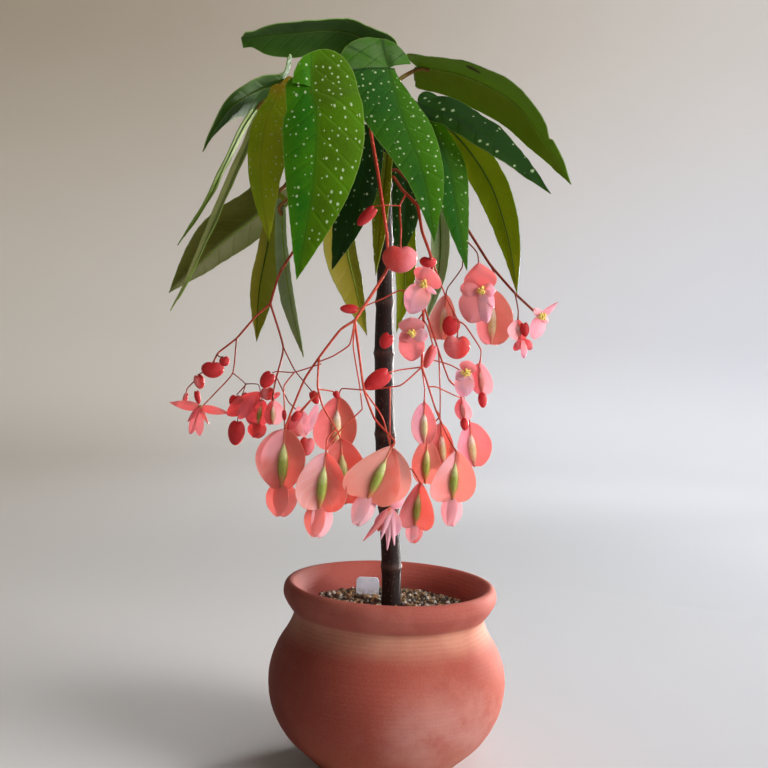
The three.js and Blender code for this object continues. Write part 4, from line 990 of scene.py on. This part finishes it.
def heart_bud(build, top, bottom, width, thickness, mat, notch=0.12):
    """Two fleshy petals pressed together, with a notch where the stalk comes in."""
    part = Build()
    length = (Vector(bottom) - Vector(top)).length
    rows = []
    for i in range(1, 18):
        c = -math.cos(math.pi * i / 18)
        row = []
        for a in around(28):
            x, y = math.sin(math.pi * i / 18) * math.cos(a), math.sin(math.pi * i / 18) * math.sin(a)
            dent = notch * max(c, 0) * math.exp(-(x / 0.25) ** 2)
            groove = 1 - 0.12 * math.exp(-(y / 0.12) ** 2) * (1 - c * c)
            point = (width / 2 * x * (1 + 0.1 * c), thickness / 2 * y * groove, length * ((c - 1) / 2 - dent))
            row.append((point, (x, (1 - c) / 2, y)))
        rows.append(row)
    part.rings(rows, mat, ((0, 0, -length), (0, 1, 0)), ((0, 0, -notch * length), (0, 0, 0)))
    build.join(part.place(top, bottom))


def closed_bud(number, top, bottom, *shape):
    name = f"bud_{number:02d}"
    build = Build()
    heart_bud(build, top, bottom, *shape)
    hold(name, top, bottom, 0.14 * (Vector(top) - Vector(bottom)).length)
    settle(build.piece(name + "_closed"), name)


def young_flower(number, top, bottom, left, right, drop, left_mat, right_mat, drop_mat):
    """Two small wings that are still folded forward, and a drop-shaped bud that hangs below them."""
    name, seed = f"bud_{number:02d}", 56 + number
    length = (Vector(bottom) - Vector(top)).length
    build = Build()
    turned(build, [(r * 0.5, z * length) for r, z in GIRTH], young_skin, 14)
    wing(build, length, seed, 180, left, 2.5, 0.1, left_mat)
    wing(build, length, seed + 3, 0, right, 2.5, 0.7, right_mat)
    wing(build, length, seed + 5, 70, 0.7 * left, 1, 0.3, LIGHT)
    build.place(top, bottom)
    way = (Vector(bottom) - Vector(top)).normalized()
    start = Vector(bottom) - way * 1.5
    width, fall = drop
    heart_bud(build, start, start + way * (fall + 1.5), width, 0.6 * width, drop_mat, 0.02)
    hold(name, top, bottom, 0.4)
    settle(build.piece(name + "_young"), name)


def stamens(build, centre, rng, count):
    for _ in range(count):
        tilt, turn = math.radians(rng.uniform(5, 62)), rng.uniform(0, 2 * math.pi)
        way = Vector((math.sin(tilt) * math.cos(turn), -math.cos(tilt), math.sin(tilt) * math.sin(turn)))
        part = Build()
        turned(part, STAMEN, yellow, 7)
        start = centre + way * rng.uniform(0.1, 0.8)
        build.join(part.place(start, start + way))


def open_flower(number, centre, petals):
    name, seed = f"open_{number:02d}", 99 + number
    build = Build()
    c = Vector(centre)
    for k, (step, width, point, claw, mat) in enumerate(petals):
        base = c + Vector((0, 0.4 - 0.35 * k, 0))
        cup = 0.11 * Vector(step).length
        round_petal(build, base, base + Vector(step), (0, -1, 0), width, cup, mat, seed + k, point, claw)
    stamens(build, c - Vector((0, 1.2, 0)), random.Random(seed), STAMENS.get(number, 0))
    part = Build()
    behind = c + Vector((0, 2.2, 0))
    turned(part, NECK, ovary_skin, 14)
    build.join(part.place(behind, c))
    hold(name, behind, c, 0.2)
    settle(build.piece(name + "_bloom"), name)


for number, flower in enumerate(WINGED, 1):
    winged_flower(number, *flower)
for number, bud in BUDS.items():
    closed_bud(number, *bud)
for number, flower in enumerate(YOUNG, 4):
    young_flower(number, *flower)
for number, flower in enumerate(OPEN, 1):
    open_flower(number, *flower)


# Flower stalks with their small buds

STRAIGHT = 0.26
STALK_LEAST, STALK_GROWTH, THIN = 0.42, 1.1, 0.36
# Each stalk: height and bearing where it leaves the cane, its branches (what hangs there, thickness and
# points), thin side branches, small buds (top, bottom, width, thickness, material), and loose petals of
# flowers that are still opening (base, tip, width, bluntness, material), with the seed of the first
STALKS = {
    "stalk_centre": {
        "skin": stem_paint("stalk_red", "b23a2c", "c8523e", "d8705a"),
        "start": (350, -115),
        "branches": [
            (None, 1.3, (-22, -14, 347), (-21, -24, 335), (-17, -27, 316), (-14, -29, 301), (-10, -32, 279),
             (-9, -36, 262), (-16, -42, 248), (-24, -46, 234)),
            ("flower_01", 1, (-24, -46, 234), (-31, -46, 229), (-41, -44, 215), (-48, -40, 204),
             (-54, -38, 188)),
            ("flower_03", 0.9, (-41, -44, 215), (-41, -44, 201), (-38, -44, 191), (-31, -42, 180)),
            ("flower_02", 0.8, (-31, -42, 180), (-35, -48, 175)),
            ("flower_04", 1, (-24, -46, 234), (-21, -44, 217), (-18, -43, 200), (-12, -46, 186)),
            ("open_06", 0.8, (-18, -43, 200), (-8, -38, 186), (-2, -33, 165), (-2, -32, 150)),
            ("flower_09", 0.8, (-2, -33, 165), (8, -27, 160)),
            (None, 0.8, (-24, -46, 233), (-26, -47, 222), (-34, -46, 216), (-41, -44, 213)),
            (None, 0.8, (-40, -44, 198), (-45, -44, 193), (-50, -44, 187)),
        ],
        "thin": [
            [(-40, -43, 212), (-56, -12, 207.6), (-68.2, 12, 207.8), (-71, 14, 207)],
            [(-56.2, -12, 207.4), (-61.2, -12, 200), (-59, -26, 189), (-57.5, -36, 180)],
            [(-41.5, -43, 197), (-49, -36, 188), (-54, -34, 182)],
            [(-41, -43, 199.5), (-37, -36, 199), (-33.6, -30, 198.4)],
            [(-24, -46, 231), (-24.1, -45, 220.6), (-20.1, -44, 201.5), (-18.4, -43, 190.2)],
            [(-18.4, -43, 190.4), (-29.8, -46, 178.4), (-35, -49, 170)],
        ],
        "buds": [
            ((-49, -44, 188), (-53, -44, 183), 4, 3, RED_BUD),
            ((-33.5, -30, 198.8), (-31, -30, 195), 3.4, 3, RED_BUD),
            ((-45.5, -34, 175.2), (-46.5, -34, 165.3), 8, 5, TWO_TONE),
            ((-58, -36, 188.5), (-57.5, -36, 182.6), 2.4, 2, RED_BUD),
        ],
        "seed": 46,
        "petals": [
            ((-52.5, -20, 189.7), (-48.5, -20, 174), 9, 0.6, LIGHT),
            ((-42.5, -22, 191), (-47.3, -22, 175.5), 4.4, 0.5, WHITE_PINK),
            ((-52.8, -34, 186.2), (-56.9, -34, 176), 2.6, 0.5, CRIMSON),
            ((-49, -32, 187.8), (-55, -32, 177.8), 3, 0.5, RASPBERRY),
            ((-56, -30, 185), (-50, -30, 175), 6, 0.6, ROSE),
        ],
    },
    "stalk_upper": {
        "skin": stem_paint("stalk_coral", "b4402e", "c8584a", "8a3e2c"),
        "start": (315, -45),
        "branches": [
            (None, 1.2, (-3, -12, 307), (5, -22, 297), (8, -26, 283), (13, -24, 271), (15, -14, 260),
             (11, -14, 246), (11, -18, 238), (11, -24, 213)),
            ("bud_01", 0.9, (-1, -15, 304), (-4, -24, 296), (-3, -32, 283)),
            (None, 0.7, (-4, -24, 296), (-11, -34, 294), (-17, -35, 293)),
            ("bud_02", 0.8, (13, -24, 271), (19, -14, 259), (23, -18, 249), (29, -20, 238)),
            ("bud_05", 0.8, (29, -20, 238), (33, -18, 236), (42, -15, 224)),
            ("bud_06", 0.9, (11, -14, 246), (20, -14, 222), (26, -16, 207), (32, -15, 202)),
            (None, 0.8, (11, -24, 213), (0, -32, 211), (-7, -36, 209)),
            ("flower_10", 0.8, (11, -24, 213), (0, -30, 203), (-19, -26, 200), (-30, -20, 200)),
            ("flower_11", 0.8, (11, -24, 213), (13, -24, 202)),
            ("flower_06", 0.9, (11, -24, 213), (14, -27, 205), (19, -30, 191), (26, -32, 177)),
            ("flower_05", 0.8, (19, -30, 191), (21.5, -25, 188), (18, -19, 183)),
            ("open_04", 0.8, (11, -24, 213), (16, -20, 217), (26, -17, 215)),
            ("open_01", 0.8, (15, -14, 260), (12, -13, 258)),
            ("open_02", 0.8, (11, -15, 242), (7, -16, 236)),
            ("bud_03", 0.8, (11, -18, 238), (13, -25, 234)),
            ("flower_08", 0.8, (20, -14, 222), (22, -10, 200)),
            ("flower_07", 0.8, (26, -16, 207), (34, -8, 200)),
            (None, 0.8, (11, -14, 246), (-1, -18, 253), (-11, -18, 248), (-24, -18, 242)),
        ],
        "thin": [
            [(-5, -30, 202), (-4.5, -36, 188), (-4, -46, 174)],
            [(24, -18.5, 247), (26.3, -15, 244), (27.4, -13, 240.6)],
            [(15, -27.5, 203), (19, -26, 203), (29, -20, 199), (32.5, -15, 198)],
        ],
        "buds": [
            ((-16, -35, 293), (-25, -35, 283), 6, 4, RED_BUD),
            ((-5, -36, 210), (-18, -36, 201), 9, 5, RED_BUD),
            ((-23, -18, 242), (-33, -18, 242), 5, 3, RED_BUD),
            ((12, -21, 271), (12, -21, 265), 9, 5, RED_BUD), ((-6, -22, 230), (-10, -22, 222), 7, 4, RED_BUD),
        ],
    },
    "stalk_right": {
        "skin": stem_paint("stalk_brown", "6e2e22", "8a4232", "a05a44"),
        "start": (320, 0),
        "branches": [
            ("open_05", 1.2, (10, 0, 306), (23, -4, 298), (33, -5, 289), (46, -7, 270), (60, -8, 255),
             (71, -6, 246)),
            ("bud_04", 0.8, (60, -8, 255), (62, -8, 246)),
            ("open_03", 0.8, (23, -4, 298), (33, -8, 282), (39, -8, 275)),
            ("flower_12", 0.8, (23, -4, 298), (30, -8, 282), (31, -8, 268), (24, -6, 257)),
            ("flower_13", 0.8, (46, -7, 270), (50, 2, 265)),
        ],
        "buds": [
            ((65, -9, 240), (66.5, -9, 232), 5, 4, RED_BUD),
            ((27.5, -13, 241), (24.5, -13, 230.5), 9.5, 4, RED_BUD),
        ],
        "seed": 43,
        "petals": [
            ((64.3, -9, 230.5), (60.8, -9, 224.5), 4, 0.6, RASPBERRY),
            ((65, -9, 230.5), (70, -9, 225.5), 4.4, 0.6, RASPBERRY),
            ((64.8, -10, 230), (66, -10, 220.5), 3.4, 0.6, MILKY),
        ],
    },
    "stalk_left": {
        "skin": stem_paint("stalk_rust", "8e3626", "a64432", "b8584a"),
        "start": (310, 170),
        "branches": [
            (None, 1.2, (-37, 14, 299), (-60, 22, 281), (-70, 28, 267), (-73, 30, 260), (-76, 30, 247)),
            ("bud_07", 1, (-76, 30, 247), (-84, 28, 239), (-94, 26, 226), (-103, 20, 217)),
            ("open_07", 0.8, (-94, 26, 226), (-95, 24, 206), (-103, 20, 195)),
            ("bud_08", 0.7, (-95, 24, 206), (-87, 20, 200), (-88, 16, 193)),
            ("flower_14", 0.7, (-87, 20, 200), (-79, 16, 200)),
            ("flower_15", 1, (-76, 30, 247), (-67, 26, 222), (-69, 16, 204)),
            (None, 0.8, (-67, 26, 222), (-59, 18, 209), (-47, 4, 197)),
        ],
        "thin": [
            [(-103.5, 19, 216), (-101.5, 17, 214.6), (-99.3, 16, 214.8)],
            [(-112.5, 18, 201.5), (-115.7, 18, 200), (-119.3, 18, 196), (-119.7, 18, 193.5)],
            [(-107, 17, 208), (-110, 18, 206), (-113.7, 18, 204)],
            [(-86.6, 20, 199.5), (-88.5, 19, 197), (-91.3, 18, 193.6)],
            [(-68.7, 14, 204.7), (-60.7, 8, 191.3), (-54, 0, 186.2)],
        ],
        "buds": [
            ((-48, 5, 198), (-44, 1, 191), 5, 4, RED_BUD),
            ((-99.5, 16, 215), (-97.5, 16, 209.6), 6, 4, RED_BUD),
            ((-114, 18, 204.5), (-111.5, 18, 196), 6, 4, PINK_RED),
            ((-114.3, 18, 195.5), (-112, 17, 187.5), 3.6, 3, RED_BUD),
            ((-119.5, 18, 194), (-120.8, 17, 186.5), 2.8, 2.4, PINK_RED),
            ((-91.5, 18, 194), (-92, 18, 185.6), 7.3, 5, RED_BUD),
            ((-84.5, 16, 195.5), (-85.5, 16, 188.5), 6.5, 5, RED_BUD),
            ((-71, 14, 207.5), (-76.5, 14, 198.5), 8, 5, RED_BUD),
            ((-73.5, 12, 199), (-72.5, 12, 191.5), 8, 5, PINK_RED),
        ],
        "seed": 40,
        "petals": [
            ((-76.5, 12, 195.4), (-95, 12, 182.3), 9.5, 0.55, CRIMSON),
            ((-80, 10, 194.5), (-88, 10, 180.5), 6.5, 0.6, RASPBERRY),
            ((-66, 10, 196), (-71, 10, 192), 2.5, 0.5, RASPBERRY),
        ],
    },
}


def stalk_piece(name, skin, start, branches, buds, thin=(), seed=0, petals=()):
    build = Build()
    for number, (flower, radius, *points) in enumerate(branches):
        first = from_cane(*start) if number == 0 else []
        last_two = holds.get(flower, [])
        if last_two and (Vector(points[-1]) - last_two[1]).length < 14:
            last_two = last_two[1:]
        line = spline(first + points + last_two, 1.0, STRAIGHT)
        last = len(line) - 1
        thick = STALK_LEAST + (radius - 0.8) * STALK_GROWTH
        radii = []
        for i in range(last + 1):
            knot = 0.35 * math.exp(-(i / 2.2) ** 2)
            knot += 0.5 * math.exp(-((last - i) / 1.6) ** 2) if flower else 0
            radii.append(thick * (1.0 - 0.2 * i / last + knot))
        tube(build, line, radii, skin)
    for points in thin:
        line = spline(points, 1.0, STRAIGHT)
        tube(build, line, [THIN * (1.1 - 0.2 * i / len(line)) for i in range(len(line))], skin, 8)
    for bud in buds:
        heart_bud(build, *bud)
    for number, (base, tip, width, point, mat) in enumerate(petals):
        round_petal(build, base, tip, (0.2, -1, 0.1), width, 1.5, mat, seed + number, point, 0.5)
    settle(build.piece(name + "_stems"), name)


for name, stalk in STALKS.items():
    stalk_piece(name, **stalk)


# Pot, mix and label: outlines are (radius, height)

POT_OUTLINE = [(33, 0), (38, 1.5), (45, 8), (55, 18), (61.5, 30), (63.8, 42), (63.2, 52), (59.7, 62),
               (54, 71.5), (51.4, 79), (54, 83), (57, 88), (57.6, 91.5), (56.6, 95), (54.5, 96.3), (52, 95),
               (48.5, 90), (46.6, 84), (46, 78), (48.5, 71.5), (54, 62), (57.6, 52), (58, 42), (55.8, 30),
               (49.8, 18), (40, 7)]
POT_FLOOR = 7
DRAIN_RADIUS, DRAIN_RING, DRAIN_COUNT = 4.5, 20, 3
MIX_SIDE = [(36, 7.4), (41, 9), (49.3, 18), (55.3, 30), (57.5, 42), (57.1, 52), (53.5, 62), (48, 71.5),
            (45.5, 78)]
MIX_TOP = [(0, 83.4), (18, 83.4), (38, 82.6), (47, 81.5)]
MIX_RADIUS, MIX_SEED = 46.2, 11
# Outline of a grain, the smallest, largest and most common size, and how common the four colours are
GRAIN = [(0, -1), (0.62, -0.78), (0.98, -0.2), (0.92, 0.38), (0.52, 0.85), (0, 1)]
GRAIN_SIZES, GRAIN_SHARES = (0.9, 3.2, 1.5), (4, 1.6, 3, 2)
# Grains are added until the mix has this many faces. None lies in the cane or in the label.
MIX_FACES = 48000
FOOT_X, CANE_HOLE = 1, 6.4
LABEL_X, LABEL_Y, LABEL_HALF, LABEL_LOW, LABEL_HIGH = -12.5, 22, 6.5, 60, 93
LABEL_CORNER, LABEL_THICK, LABEL_SOFT = 2.5, 0.7, 0.15
# Degrees between faces from which the label's edges are sharp
LABEL_SHARP = 40


def clay_paint():
    """tag: height in centimetres, and 1 on the inside."""
    p = Paint("terracotta")
    height, inside, _ = p.tag()
    x = p.split(p.place)[0]
    upper = p.step(height, 8.0, 8.4)
    band = p.step(height + 0.6 * p.noise(18, 3), 6.8, 8.0) * (1 - upper)
    rings = p.add("ShaderNodeTexWave", bands_direction="Z", wave_profile="SIN")
    p.feed(rings.inputs["Vector"], p.place)
    for key, value in (("Scale", 150), ("Distortion", 2.5), ("Detail Scale", 0.4)):
        rings.inputs[key].default_value = value
    turn = Value(p, rings.outputs["Fac"])
    pits = 1 - p.step(p.cells(520)[0], 0.06, 0.2)
    chalk = p.step(p.noise(20, 6, rough=0.62), 0.42, 0.66) * (1 - p.step(height, 3.5, 7.0))
    p.colour = p.mix(p.patches(14, 3, 0.36, 0.64), "964236", "a24c3e")
    p.lay(0.4 * p.step(p.noise(42, 5, rough=0.6), 0.5, 0.72), "b05c4a")
    # Chalky bloom on the lower body, laid on the right half only: the pot's own bloom, and painted light that
    # makes the lit side paler.
    p.lay(0.5 * chalk * p.step(x, -0.025, 0.02), "cc9c94")
    # A lighter band on the neck: the pot's own paler neck, painted lighter still against the shadow under the
    # rim.
    p.lay(0.75 * band, p.mix(p.patches(60, 4, 0.4, 0.7), "bc7e68", "cc927a"))
    p.lay(upper, p.mix(p.patches(38, 4, 0.4, 0.66), "a05046", "b06256"))
    p.lay(0.8 * inside, "a44e46")
    # Orange towards the foot: painted bounce light.
    p.lay(0.5 * (1 - p.step(height, 0.4, 3.5)), "b4603c")
    p.lay(0.09 * turn * band, "e0b49c")
    p.lay(0.3 * pits, "6e2c1e")
    p.lay(0.12 * p.patches(2200, 3, 0.4, 0.7), "dca48c")
    # The left side painted darker: painted shade on the side away from the light.
    p.lay(0.68 * (1 - p.step(x, -0.06, -0.01)), "4a160e")
    bumps = 0.3 * turn + 0.5 * p.noise(900, 4) - 0.6 * pits
    return p.finish(bumps, 0.3, 0.0004, 0.62 + 0.26 * p.noise(120, 4), 0.2)


def pot_piece():
    rows = []
    for p in spline([(r, 0, z) for r, z in POT_OUTLINE]):
        row = []
        for a in around(144):
            sway = 0.35 * noise.noise(Vector((math.cos(a), math.sin(a), p.z * 0.03)))
            sway += 0.1 * noise.noise(Vector((0.4 * math.cos(a), 0.4 * math.sin(a), p.z * 0.55)))
            r = p.x + sway * min(p.z / 10, 1)
            row.append(((r * math.cos(a), r * math.sin(a), max(p.z, 0)), (0, 0, 0)))
        rows.append(row)
    build = Build()
    mat = clay_paint()
    build.rings(rows, mat, ((0, 0, 0), (0, 0, 0)), ((0, 0, POT_FLOOR), (0, 0, 0)))
    pot = build.piece("pot_clay")
    for k in range(DRAIN_COUNT):
        a = 2 * math.pi * (k + 0.5) / DRAIN_COUNT
        x, y = DRAIN_RING * math.cos(a), DRAIN_RING * math.sin(a)
        drill = Build()
        turned(drill, [(0, -5), (DRAIN_RADIUS, -5), (DRAIN_RADIUS, 15), (0, 15)], mat, 24)
        drill.spots = [(Vector(q) + Vector((x, y, 0)), tag) for q, tag in drill.spots]
        cutter = drill.piece("drill")
        cut = pot.modifiers.new("drain", "BOOLEAN")
        cut.operation, cut.solver, cut.object = "DIFFERENCE", "EXACT", cutter
        mesh = bpy.data.meshes.new_from_object(pot.evaluated_get(bpy.context.evaluated_depsgraph_get()))
        pot.modifiers.clear()
        pot.data = mesh
        bpy.data.objects.remove(cutter)
    # Drilling loses the tags, so they are written here
    marks = pot.data.attributes.get("tag") or pot.data.attributes.new("tag", "FLOAT_VECTOR", "POINT")
    for vertex, mark in zip(pot.data.vertices, marks.data):
        inward = vertex.normal.x * vertex.co.x + vertex.normal.y * vertex.co.y < 0
        mark.vector = (vertex.co.z * 100, 1.0 if inward else 0.0, 0)
    settle(pot, "pot")


def soil_paint():
    p = Paint("potting_mix")
    p.colour = p.mix(p.patches(260, 4, 0.38, 0.66), "2a211a", "4a3a2c")
    p.lay(p.patches(900, 3, 0.55, 0.75), "7a6048")
    return p.finish(p.noise(700, 5), 0.9, 0.001, 0.95)


def grit_paint(name, first, second, third):
    """tag: the shade of the grain."""
    p = Paint(name)
    p.colour = p.mix(p.step(p.tag()[0], 0.0, 1.0), first, second)
    p.lay(0.5 * p.patches(1500, 3, 0.4, 0.7), third)
    return p.finish(p.noise(2200, 3), 0.5, 0.0003, 0.65 + 0.3 * p.noise(800))


def mix_height(x, y):
    lump = 0.7 * noise.noise(Vector((x * 0.22, y * 0.22, 1)))
    lump += 0.35 * noise.noise(Vector((x * 0.6, y * 0.6, 4)))
    return table(MIX_TOP, math.hypot(x, y)) + lump


def pebble(build, rng, x, y, size, mat):
    """A rough grain: a few rings of a lopsided ball."""
    turn = Euler([rng.uniform(0, 2 * math.pi) for _ in range(3)]).to_matrix()
    shape = Matrix.Diagonal((rng.uniform(0.8, 1.25), rng.uniform(0.7, 1.1), rng.uniform(0.55, 0.9))) * size
    centre = Vector((x, y, mix_height(x, y) + 0.15 * size))
    seed, shade = rng.uniform(0, 50), rng.random()
    part = Build()
    turned(part, GRAIN, mat, 8)
    points = [Vector(q) for q, _ in part.spots]
    rough = [q * (1 + 0.5 * noise.noise(q * 1.7 + Vector((seed, 0, 0)))) for q in points]
    part.spots = [(centre + turn @ (shape @ q) / 2, (shade, 0, 0)) for q in rough]
    build.join(part)


def mix_piece():
    rng = random.Random(MIX_SEED)
    build = Build()
    sides, rings = 120, 44
    rows = [[(r * math.cos(a), r * math.sin(a), z) for a in around(sides)] for r, z in MIX_SIDE]
    for i in range(rings):
        r = MIX_RADIUS * (1 - i / rings)
        ring = [(r * math.cos(a), r * math.sin(a)) for a in around(sides)]
        rows.append([(x, y, mix_height(x, y) - (0.8 if i == 0 else 0)) for x, y in ring])
    blank = (0, 0, 0)
    build.rings([[(p, blank) for p in row] for row in rows], soil_paint(),
                ((0, 0, MIX_SIDE[0][1]), blank), ((0, 0, mix_height(0, 0)), blank))
    grits = [grit_paint("grit_tan", "9a7a56", "c0a078", "6e5238"),
             grit_paint("grit_white", "cfc8ba", "e6e2d8", "a8a094"),
             grit_paint("grit_dark", "3c3026", "5c4a3a", "7a6650"),
             grit_paint("grit_grey", "7c766e", "9a948a", "56504a")]
    while len(build.faces) <= MIX_FACES:
        r, a = 45.6 * math.sqrt(rng.random()), rng.uniform(0, 2 * math.pi)
        x, y = r * math.cos(a), r * math.sin(a)
        size = rng.triangular(*GRAIN_SIZES)
        at_cane = math.hypot(x - FOOT_X, y) < CANE_HOLE
        at_label = abs(x - LABEL_X) < LABEL_HALF + 0.5 and abs(y - LABEL_Y) < 1.6
        if not at_cane and not at_label and r + size / 2 <= 46:
            pebble(build, rng, x, y, size, rng.choices(grits, GRAIN_SHARES)[0])
    settle(build.piece("potting_mix_grit"), "potting_mix")


def label_paint():
    """tag: share of the height."""
    p = Paint("label_white")
    p.colour = p.mix(p.patches(180, 3, 0.35, 0.7), "ccd6e6", "dce4f0")
    p.lay(0.7 * (1 - p.step(p.tag()[0], 0.66, 0.86)) * p.patches(500, 4, 0.35, 0.6), "8a765e")
    return p.finish(p.noise(600, 3), 0.15, 0.0002, 0.34 + 0.2 * p.noise(200))


def label_outline(inset):
    """The plate seen from the front, with rounded upper corners."""
    r = LABEL_CORNER - inset
    points = [(inset - LABEL_HALF, LABEL_LOW + inset), (LABEL_HALF - inset, LABEL_LOW + inset)]
    for side, start in ((1, 0), (-1, 90)):
        for k in range(9):
            a = math.radians(start + 90 * k / 8)
            points.append((side * (LABEL_HALF - LABEL_CORNER) + r * math.cos(a),
                           LABEL_HIGH - LABEL_CORNER + r * math.sin(a)))
    return points


def label_piece():
    """A thin plate with softened edges, from its back to its front."""
    build = Build()
    rows = []
    half, inner = LABEL_THICK / 2, LABEL_THICK / 2 - LABEL_SOFT
    for inset, depth in ((LABEL_SOFT, half), (0, inner), (0, -inner), (LABEL_SOFT, -half)):
        rows.append([((LABEL_X + x, LABEL_Y + depth, z), ((z - LABEL_LOW) / (LABEL_HIGH - LABEL_LOW), 0, 0))
                     for x, z in label_outline(inset)])
    build.rings(rows, label_paint())
    settle(build.piece("plant_label_plate", LABEL_SHARP), "plant_label")


cane_piece()
shoot_piece()
pot_piece()
mix_piece()
label_piece()


# Floor and backdrop in one round bowl, and soft lamps

BOWL = [(150, 0), (800, 0), (1500, 0), (1900, 30), (2150, 140), (2300, 360), (2360, 700), (2380, 1300),
        (2380, 2200)]
# How far the floor lies below the foot of the pot
BELOW = 0.2


def studio_paint():
    """A backdrop with painted light and shade: warm and darker towards the upper left, cool and lighter to
    the right.
    """
    p = Paint("studio_floor")
    x, y, z = p.split(p.place)
    side = p.step(x, -1.5, 1.5)
    cool = p.step(x, -0.8, 0.5)
    # The floor is painted darker at the front on the right and lighter far back on the right: painted shade
    # and light that even out the lamps.
    ground = p.mix(p.step(y, 0.3, 1.5), p.mix(cool, "dedbd6", "b8bcc4"), p.mix(cool, "dcd8d2", "e8ecf4"))
    # The wall is painted darker and browner towards the top, most on the left: painted shade.
    high = p.step(z, 0.2, 1.4) * (1 - 0.35 * side)
    wall = p.mix(0.8 * high, p.mix(side, "d2ccc2", "d4d8e2"), "a89a84")
    p.colour = p.mix(p.step(z, 0.02, 0.4), ground, wall)
    p.lay(0.05 * p.patches(3, 2, 0.3, 0.7), "d8d4cc")
    return p.finish(p.noise(400), 0.05, 0.0005, 0.9, 0.1)


bowl = Build()
rows = [[((p.x * math.cos(a), p.x * math.sin(a), max(p.z, -BELOW)), (0, 0, 0)) for a in around(96)]
        for p in spline([(r, 0, z - BELOW) for r, z in BOWL], 60)]
bowl.rings(rows[::-1], studio_paint(), low=None)
bowl.piece("studio")


def lamp(name, place, target, size, power, colour, spread=180):
    data = bpy.data.lights.new(name, "AREA")
    data.shape, data.size, data.energy, data.color = "DISK", size, power, colour
    data.spread = math.radians(spread)
    lamp_object = bpy.data.objects.new(name, data)
    bpy.context.scene.collection.objects.link(lamp_object)
    lamp_object.location = Vector(place)
    lamp_object.rotation_euler = (Vector(target) - Vector(place)).to_track_quat("-Z", "Y").to_euler()


lamp("key", (1.4, -0.55, 0.7), (0, 0, 0.2), 1.0, 32, (1.0, 0.98, 0.96))
lamp("fill", (-1.2, -1.3, 0.7), (0, 0, 0.22), 1.1, 0.4, (1.0, 0.95, 0.9))
lamp("top", (0.4, -0.2, 1.7), (0, 0, 0.2), 1.2, 6, (1.0, 0.98, 0.95))
lamp("back", (1.45, 1.5, 0.42), (0, 0, 0.3), 0.5, 3.6, (1.0, 0.97, 0.94), 30)
lamp("wall", (0.7, 0.9, 1.5), (0.5, 2.38, 0.5), 1.4, 18, (1.0, 0.99, 0.98))
world = bpy.data.worlds.new("studio")
world.use_nodes = True
sky = next(n for n in world.node_tree.nodes if n.type == "BACKGROUND")
sky.inputs[0].default_value = (0.9, 0.84, 0.76, 1)
sky.inputs[1].default_value = 0.08
bpy.context.scene.view_settings.view_transform = "Standard"
bpy.context.scene.world = world
